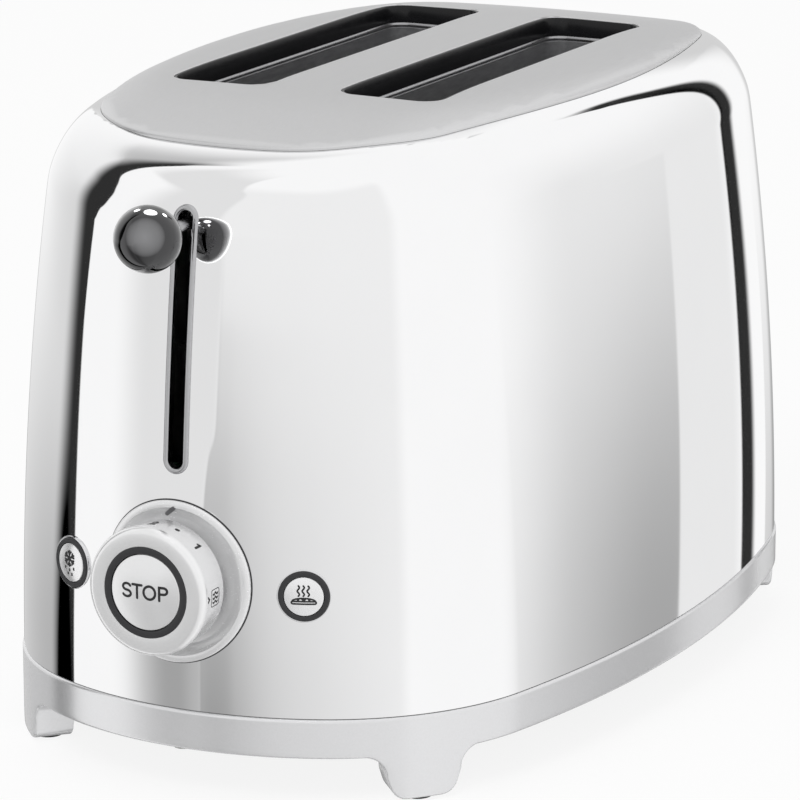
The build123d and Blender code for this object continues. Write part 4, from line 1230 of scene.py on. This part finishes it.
stem_length = stem_back - stem_front
stem = eased(
    [(0, 0, 0), (stem_radius, 0, 0.3), (stem_radius, -stem_length, 0.3), (0, -stem_length, 0)]
)
lathe(
    "turned_stem", stem, (0, stem_front, lever_z), stem_steel, "lift", ["lever_stem"],
    count=48,
)


def slot_path(grow):
    """Points round the upright lever slot, seen from the control end."""
    points = []
    half = lever_slot_width / 2
    for centre_z, first in ((lever_slot_high - half, 0.0), (lever_slot_low + half, pi)):
        for step in range(25):
            angle = first + pi * step / 24
            points.append(((half + grow) * cos(angle), centre_z + (half + grow) * sin(angle)))
        side = -1 if first == 0.0 else 1
        low, high = lever_slot_low + half, lever_slot_high - half
        for step in range(1, 20):
            share = step / 20
            z = high + (low - high) * share if side == -1 else low + (high - low) * share
            points.append((side * (half + grow), z))
    return points


trim_section = [(0.0, -trim_depth), (0.0, trim_shy)]
for step in range(9):
    angle = pi * step / 8
    out = trim_shy + (trim_proud - trim_shy) * sin(angle)
    trim_section.append((trim_rim / 2 * (1 - cos(angle)), out))
trim_section += [(trim_rim, -trim_seat), (trim_wall, -trim_seat), (trim_wall, -trim_depth)]
rings = []
for grow, out in trim_section:
    rings.append([(x, end_surface(x, z) - out, z) for x, z in slot_path(grow)])
wide = len(rings[0])
points = [p for ring in rings for p in ring]
faces = []
for r in range(len(rings)):
    lower, upper = r * wide, (r + 1) % len(rings) * wide
    for k in range(wide):
        m = (k + 1) % wide
        faces.append((lower + k, upper + k, upper + m, lower + m))
put("slot_trim", points, faces, trim_steel, replaces=["lever_slot_trim"])
spring_steel = finish(
    "spring_steel", (0.42, 0.42, 0.42), rough=0.35, grain=1.0, tone=0.1, Metallic=1.0
)
soft_iron = finish(
    "soft_iron", (0.20, 0.195, 0.19), rough=0.5, grain=1.0, tone=0.2, relief=0.01, Metallic=0.8
)
copper_winding = finish(
    "copper_winding", (0.45, 0.16, 0.06), rough=0.3, grain=0.35, stretch=(1, 1, 0.02), tone=0.3,
    relief=0.03, Metallic=0.9,
)
dress("guide_rods", chrome_plate, 0.15)
dress("return_spring", spring_steel)
dress("magnet_core", soft_iron, 0.15)
dress("armature", soft_iron, 0.2)
dress("magnet_coil", copper_winding, 0.2)


# Browning dial: a dished steel bezel on the casing, and a knob in satin silver with a rounded lip.
# A dark ring is inlaid in its face round the stop button, and its levels are printed on its side.
dial_y = end_face(dial_z)
bezel_radius = 23.6
bezel_neck = 21.8
bezel_proud = 1.0
bezel_land = 2.1
dish_floor = -1.8
dish_radius = 18.4
dish_curve = 1.8
bezel_depth = 6.0
hub_bore = 10.6
line_width = 0.35
line_proud = 0.25
dial_standoff = 16.2
dial_radius = 18.5
dial_back_radius = 18.1
dial_back = 3.4
cap_radius = 18.9
cap_back = 13.6
dial_round = 1.9
hub_radius = 9.5
hub_length = 12.0
ring_radius = 13.3
ring_inner = 11.3
ring_seat = 13.2
ring_proud = 0.2
stop_radius = 11.1
stop_proud = 0.9
stop_crown = 60.0
plunger_radius = 2.5
plunger_bore = 2.9
pocket_floor = 10.8
bezel_steel = finish(
    "bezel_steel", (0.84, 0.84, 0.845), rough=0.24, grain=0.5, tone=0.02, Metallic=0.5
)
dial_silver = finish(
    "dial_silver", (0.88, 0.88, 0.885), rough=0.20, grain=0.4, tone=0.012, uneven=0.06,
    Metallic=0.65,
)
dark_ring = finish("dark_ring", (0.021, 0.021, 0.023), rough=0.4, grain=0.8, tone=0.1, relief=0.003)
dial_place = (0, dial_y, dial_z)
land_inner = bezel_radius - bezel_land
dish_brim = bezel_proud - 0.25
bezel = [
    (hub_bore, -bezel_depth, 0.0),
    (bezel_neck, -bezel_depth, 1.0),
    (bezel_neck, 0.05, 1.0),
    (bezel_radius, 0.05, 1.0),
    (bezel_radius, bezel_proud - 0.3, 1.0),
    (bezel_radius - 0.1, bezel_proud - 0.1, 1.0),
    (bezel_radius - 0.3, bezel_proud, 1.0),
    (land_inner + 0.25, bezel_proud, 1.0),
    (land_inner + 0.08, bezel_proud - 0.06, 1.0),
]
for step in range(13):
    share = step / 12
    across = land_inner + (dish_radius - land_inner) * share
    hollow = (1 - share) ** dish_curve
    bezel.append((across, dish_floor + (dish_brim - dish_floor) * hollow, hollow))
bezel.append((hub_bore, dish_floor, 0.0))
bezel_place = (0, dial_y, bezel_z)
lathe(
    "dished_bezel", bezel, bezel_place, bezel_steel, replaces=["dial_bezel"],
    count=160,
)
# A thin dark ring is laid on the casing round the outer edge of the bezel.
line = [
    (bezel_radius + 0.01, -0.3, 1.0),
    (bezel_radius + line_width, -0.3, 1.0),
    (bezel_radius + line_width, line_proud - 0.1, 1.0),
    (bezel_radius + line_width - 0.1, line_proud, 1.0),
    (bezel_radius + 0.01, line_proud, 1.0),
]
lathe("bezel_line", line, bezel_place, dark_ring, count=160)
knob = eased(
    [
        (plunger_bore, -hub_length, 0),
        (hub_radius, -hub_length, 0.3),
        (hub_radius, dial_back, 0),
        (dial_back_radius, dial_back, 0.3),
        (dial_radius, cap_back, 0),
        (cap_radius, cap_back, 0.2),
        (cap_radius, dial_standoff, dial_round),
        (ring_radius, dial_standoff, 0.15),
        (ring_radius, ring_seat, 0),
        (ring_inner, ring_seat, 0),
        (ring_inner, pocket_floor, 0),
        (plunger_bore, pocket_floor, 0),
    ],
    8,
)
lathe("dial_knob", knob, dial_place, dial_silver, "browning_dial", ["dial"], count=160)
inlay = eased(
    [
        (ring_inner, ring_seat, 0),
        (ring_radius, ring_seat, 0),
        (ring_radius, dial_standoff + ring_proud, 0.1),
        (ring_inner, dial_standoff + ring_proud, 0.15),
    ],
    3,
)
lathe(
    "inlaid_ring", inlay, dial_place, dark_ring, "browning_dial", ["stop_ring"],
    count=128,
)


def crowned(radius, front, crown, edge):
    """Front face of a pressed button, from its middle out to its rounded edge."""
    points = []
    for step in range(13):
        across = (radius - edge) * step / 12
        points.append((across, front - crown + sqrt(crown**2 - across**2)))
    low = points[-1][1]
    for step in range(1, 6):
        angle = pi / 2 * step / 5
        points.append((radius - edge + edge * sin(angle), low - edge * (1 - cos(angle))))
    return points


_, stop_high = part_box("stop_button")
stop_back = dial_y - (stop_high.y - middle_y) / mm
stop = crowned(stop_radius, dial_standoff + stop_proud, stop_crown, 0.35)
stop += [(stop_radius, ring_seat), (plunger_radius, ring_seat)]
stop += [(plunger_radius, stop_back), (0.0, stop_back)]
lathe(
    "stop_disc", stop, dial_place, dial_silver, "stop_push", ["stop_button"],
    count=128,
)
printed_black = finish("printed_black", (0.012, 0.012, 0.013), rough=0.5, grain=0.3, tone=0.15)
ink = 0.05
mark_ink = 0.12
pen_step = 0.4
word_pen = 0.74
word_shift = (0.25, 0.35)
number_pen = 0.72
dot_pen = 1.35
warm_pen = 0.5
frame_pen = 0.2
pointer_pen = 0.6
mark_pen = 1.2
first_level = 44.0
level_pitch = 48.0
warm_angle = 93.0


def bow(x, y, width, height, first, last, steps=14):
    """Points along part of an ellipse, from one angle in degrees to the other."""
    found = []
    for step in range(steps + 1):
        angle = radians(first + (last - first) * step / steps)
        found.append((x + width * cos(angle), y + height * sin(angle)))
    return found


def wave(x, low, high, sway, bends=3, steps=16):
    """Points along a wavy line that rises from low to high."""
    return [
        (x + sway * sin(pi * bends * step / steps), low + (high - low) * step / steps)
        for step in range(steps + 1)
    ]


def printed(name, strokes, onto, body, width, paint=printed_black, thick=ink):
    """Thin rounded pen strokes laid on a surface. A stroke that ends where it starts is closed."""
    points, faces = [], []
    for stroke in strokes:
        path = [Vector(stroke[0])]
        for spot in stroke[1:]:
            begun, run = path[-1], Vector(spot) - path[-1]
            parts = max(1, ceil(run.length / pen_step))
            path += [begun + run * (k / parts) for k in range(1, parts + 1)]
        closed = (path[0] - path[-1]).length < 1e-6
        if closed:
            path.pop()
        sections = []
        for k, spot in enumerate(path):
            before = path[k - 1] if k or closed else spot - (path[1] - spot)
            goes_on = closed or k + 1 < len(path)
            after = path[(k + 1) % len(path)] if goes_on else spot + (spot - path[k - 1])
            way_in, way_out = (spot - before).normalized(), (after - spot).normalized()
            way = (way_in + way_out).normalized()
            wide = width / 2 / max(way.dot(way_in), 0.55)
            sections.append((spot, way, wide))
        if not closed:
            (first, way, _), (last, end_way, _) = sections[0], sections[-1]
            caps = [radians(angle) for angle in (15, 40, 65)]
            half = width / 2
            sections[:0] = [(first - way * (half * cos(a)), way, half * sin(a)) for a in caps]
            for a in reversed(caps):
                sections.append((last + end_way * (half * cos(a)), end_way, half * sin(a)))
        start = len(points)
        for spot, way, wide in sections:
            aside = Vector((-way.y, way.x)) * wide
            for side, lift in ((1, thick), (-1, thick), (-1, -thick), (1, -thick)):
                points.append(onto(*(spot + aside * side), lift))
        count = len(sections)
        for k in range(count if closed else count - 1):
            here, following = start + 4 * k, start + 4 * ((k + 1) % count)
            for side in range(4):
                other = (side + 1) % 4
                faces.append((here + side, here + other, following + other, following + side))
        if not closed:
            faces.append((start + 3, start + 2, start + 1, start))
            last = start + 4 * (count - 1)
            faces.append((last, last + 1, last + 2, last + 3))
    return put(name, points, faces, paint, body, crease=50)


def on_stop(u, v, lift):
    """Place on the crowned face of the stop button."""
    front = dial_standoff + stop_proud - stop_crown + sqrt(stop_crown**2 - u * u - v * v)
    return (u, dial_y - front - lift, dial_z + v)


def on_dial_side(u, v, lift):
    """Place on the dial's side: u is clockwise round it from the top, v is towards the casing."""
    out = (cap_back + dial_back) / 2 - v
    share = (out - dial_back) / (cap_back - dial_back)
    reach = dial_back_radius + (dial_radius - dial_back_radius) * share + lift
    angle = u / dial_radius
    return (reach * sin(angle), dial_y - out, dial_z + reach * cos(angle))


def on_dish(u, v, lift):
    """Place on the bezel's dish: u is clockwise round it from the top, v is the distance out."""
    share = (land_inner - v) / (land_inner - dish_radius)
    hollow = (1 - share) ** dish_curve
    angle = u / v
    x, z = v * sin(angle), bezel_z + v * cos(angle)
    y = dial_y - dish_floor - (dish_brim - dish_floor) * hollow
    return (x, y + hollow * (end_surface(x, z) - dial_y) - lift, z)


word_stop = [
    bow(-5.9, 0.95, 1.3, 0.95, 25, 270) + bow(-5.9, -0.95, 1.35, 0.95, 90, -155)[1:],
    [(-3.95, 1.9), (-0.95, 1.9)],
    [(-2.45, 1.9), (-2.45, -1.9)],
    bow(1.55, 0.0, 1.85, 1.9, 0, 360, 40),
    [(4.65, -1.9), (4.65, 0.0), (4.65, 1.9)] + bow(5.95, 0.95, 1.15, 0.95, 90, -90) + [(4.65, 0.0)],
]
word_stop = [[(u + word_shift[0], v + word_shift[1]) for u, v in stroke] for stroke in word_stop]
printed("stop_word", word_stop, on_stop, "stop_push", word_pen)
digit = {
    1: [[(-0.55, 0.75), (0.15, 1.4), (0.15, -1.4)]],
    2: [bow(0.0, 0.6, 0.8, 0.8, 160, -35) + [(-0.8, -1.4), (0.85, -1.4)]],
    3: [bow(-0.05, 0.7, 0.75, 0.7, 150, -90) + bow(-0.05, -0.7, 0.85, 0.7, 90, -150)[1:]],
    4: [[(0.35, -1.4), (0.35, 1.4), (-0.9, -0.65), (0.9, -0.65)]],
    5: [[(0.7, 1.4), (-0.55, 1.4), (-0.7, 0.15)] + bow(-0.05, -0.5, 0.85, 0.9, 130, -150)],
    6: [bow(0.6, -0.5, 1.4, 1.9, 95, 180, 8)[:-1] + bow(0.0, -0.55, 0.8, 0.85, 180, -180, 24)],
}
side_marks = []
for level, strokes in digit.items():
    across = radians(first_level - level_pitch * (level - 1)) * dial_radius
    side_marks += [[(across + u, v) for u, v in stroke] for stroke in strokes]
printed("dial_numbers", side_marks, on_dial_side, "browning_dial", number_pen)
half_levels = []
for step in range(5):
    across = radians(first_level - level_pitch * (step + 0.5)) * dial_radius
    half_levels.append([(across - 0.12, 0.0), (across + 0.12, 0.0)])
printed("dial_dots", half_levels, on_dial_side, "browning_dial", dot_pen)
warm = radians(warm_angle) * dial_radius
warm_marks = [[(warm + u, v) for u, v in wave(x, -1.3, 1.3, 0.3)] for x in (-1.25, 0.0, 1.25)]
printed("dial_warm_mark", warm_marks, on_dial_side, "browning_dial", warm_pen)
frame_line = []
for across, along, first in ((1.9, 1.6, 0), (-1.9, 1.6, 90), (-1.9, -1.6, 180), (1.9, -1.6, 270)):
    frame_line += bow(warm + across, along, 0.6, 0.6, first, first + 90, 4)
printed("dial_warm_frame", [frame_line + frame_line[:1]], on_dial_side, "browning_dial", frame_pen)
pointer = [[(warm - 0.9, -4.3), (warm - 0.2, -3.6), (warm + 0.5, -4.3)]]
printed("dial_pointer", pointer, on_dial_side, "browning_dial", pointer_pen)
pointer_grey = finish("pointer_grey", (0.16, 0.16, 0.165), rough=0.4, grain=0.3, tone=0.1)
mark = [[(-2.9, 19.4), (0.0, 21.4)]]
printed("bezel_mark", mark, on_dish, "toaster", mark_pen, pointer_grey, mark_ink)


# Side buttons: satin silver discs in dark plastic rings that are pushed into the casing, each with
# a thin plated lip round it and its sign printed on the disc.
button_radius = 5.7
button_ring_radius = 7.35
button_bore = 5.85
button_skirt = 2.4
button_proud = 1.3
button_ring_proud = 0.8
button_crown = 30.0
button_reach = 13.0
lip_radius = 7.8
lip_proud = 0.35
lip_depth = 0.8
lip_bore = button_ring_radius + 0.02
disc_depth = 1.2
snow_pen = 0.66
bread_pen = 0.5
snow = []
for turn_step in range(3):
    way = Vector((cos(pi / 2 + turn_step * pi / 3), sin(pi / 2 + turn_step * pi / 3)))
    aside = Vector((-way.y, way.x))
    middle = Vector((0.0, 1.35))
    snow.append([tuple(middle - way * 2.2), tuple(middle + way * 2.2)])
    for end in (1, -1):
        tip = middle + way * (end * 1.95)
        root = middle + way * (end * 1.25)
        snow.append([tuple(tip + aside * 0.65), tuple(root), tuple(tip - aside * 0.65)])
for x, z in ((-1.9, -1.5), (0.0, -2.1), (1.9, -1.5), (-0.9, -3.2), (0.9, -3.3)):
    snow.append([(x, z - 0.18), (x, z + 0.18)])
bread = [wave(x, 0.35, 3.3, 0.3) for x in (-1.5, -0.1, 1.3)]
crust = bow(0.0, -1.25, 3.3, 0.95, 0, 180, 18)
heels = bow(-3.1, -1.6, 0.45, 0.4, 120, 270, 6) + bow(3.1, -1.6, 0.45, 0.4, -90, 60, 6)
bread.append(crust + heels + [(3.3, -1.25)])
bread.append([(-3.2, -1.25), (3.2, -1.25)])
bread.append(bow(0.0, -0.45, 0.5, 0.35, 200, 340, 6))
for x in (-1.6, 1.6):
    bread.append([(x - 0.15, -0.75), (x + 0.15, -0.75)])
for name, side in (("defrost", -1), ("bagel", 1)):
    place = (side * button_x, button_y, button_z)
    rim = eased(
        [
            (button_bore, -button_skirt, 0),
            (button_ring_radius, -button_skirt, 0),
            (button_ring_radius, button_ring_proud, 0.4),
            (button_bore, button_ring_proud, 0.25),
        ],
        4,
    )
    lathe(
        f"{name}_rim", rim, place, dark_ring, replaces=[f"{name}_ring"],
        turn=side * button_turn,
    )
    lip = eased(
        [
            (lip_bore, -lip_depth, 0),
            (lip_radius, -lip_depth, 0),
            (lip_radius, lip_proud, 0.15),
            (lip_bore, lip_proud, 0.1),
        ],
        3,
    )
    lathe(f"{name}_lip", lip, place, chrome_plate, turn=side * button_turn)
    disc = crowned(button_radius, button_proud, button_crown, 0.3)
    disc += [(button_radius, -disc_depth), (plunger_radius, -disc_depth)]
    disc += [(plunger_radius, -button_reach), (0.0, -button_reach)]
    lathe(
        f"{name}_disc", disc, place, dial_silver, f"{name}_push", [f"{name}_button"],
        side * button_turn,
    )

    def on_disc(u, v, lift, place=place, swing=side * button_turn):
        """Place on the crowned face of this button."""
        front = button_proud - button_crown + sqrt(button_crown**2 - u * u - v * v) + lift
        return (
            place[0] + u * cos(swing) + front * sin(swing),
            place[1] + u * sin(swing) - front * cos(swing),
            place[2] + v,
        )

    sign, pen = (snow, snow_pen) if name == "defrost" else (bread, bread_pen)
    printed(f"{name}_sign", sign, on_disc, f"{name}_push", pen)


# Controls inside: a printed circuit board on nylon spacers, with the switches and the
# potentiometer that the buttons and the dial work.
circuit_board = finish("circuit_board", (0.02, 0.11, 0.05), rough=0.35, grain=2.0, tone=0.2)
nylon = finish("nylon", (0.62, 0.61, 0.56), rough=0.45, grain=1.0, tone=0.05)
dress("control_board", circuit_board, 0.1)
dress("board_spacers", nylon, 0.1)
dress("board_screws", screw_steel, 0.15)
dress("button_switches", black_moulding, 0.15)
dress("potentiometer", black_moulding, 0.2)


low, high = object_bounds()
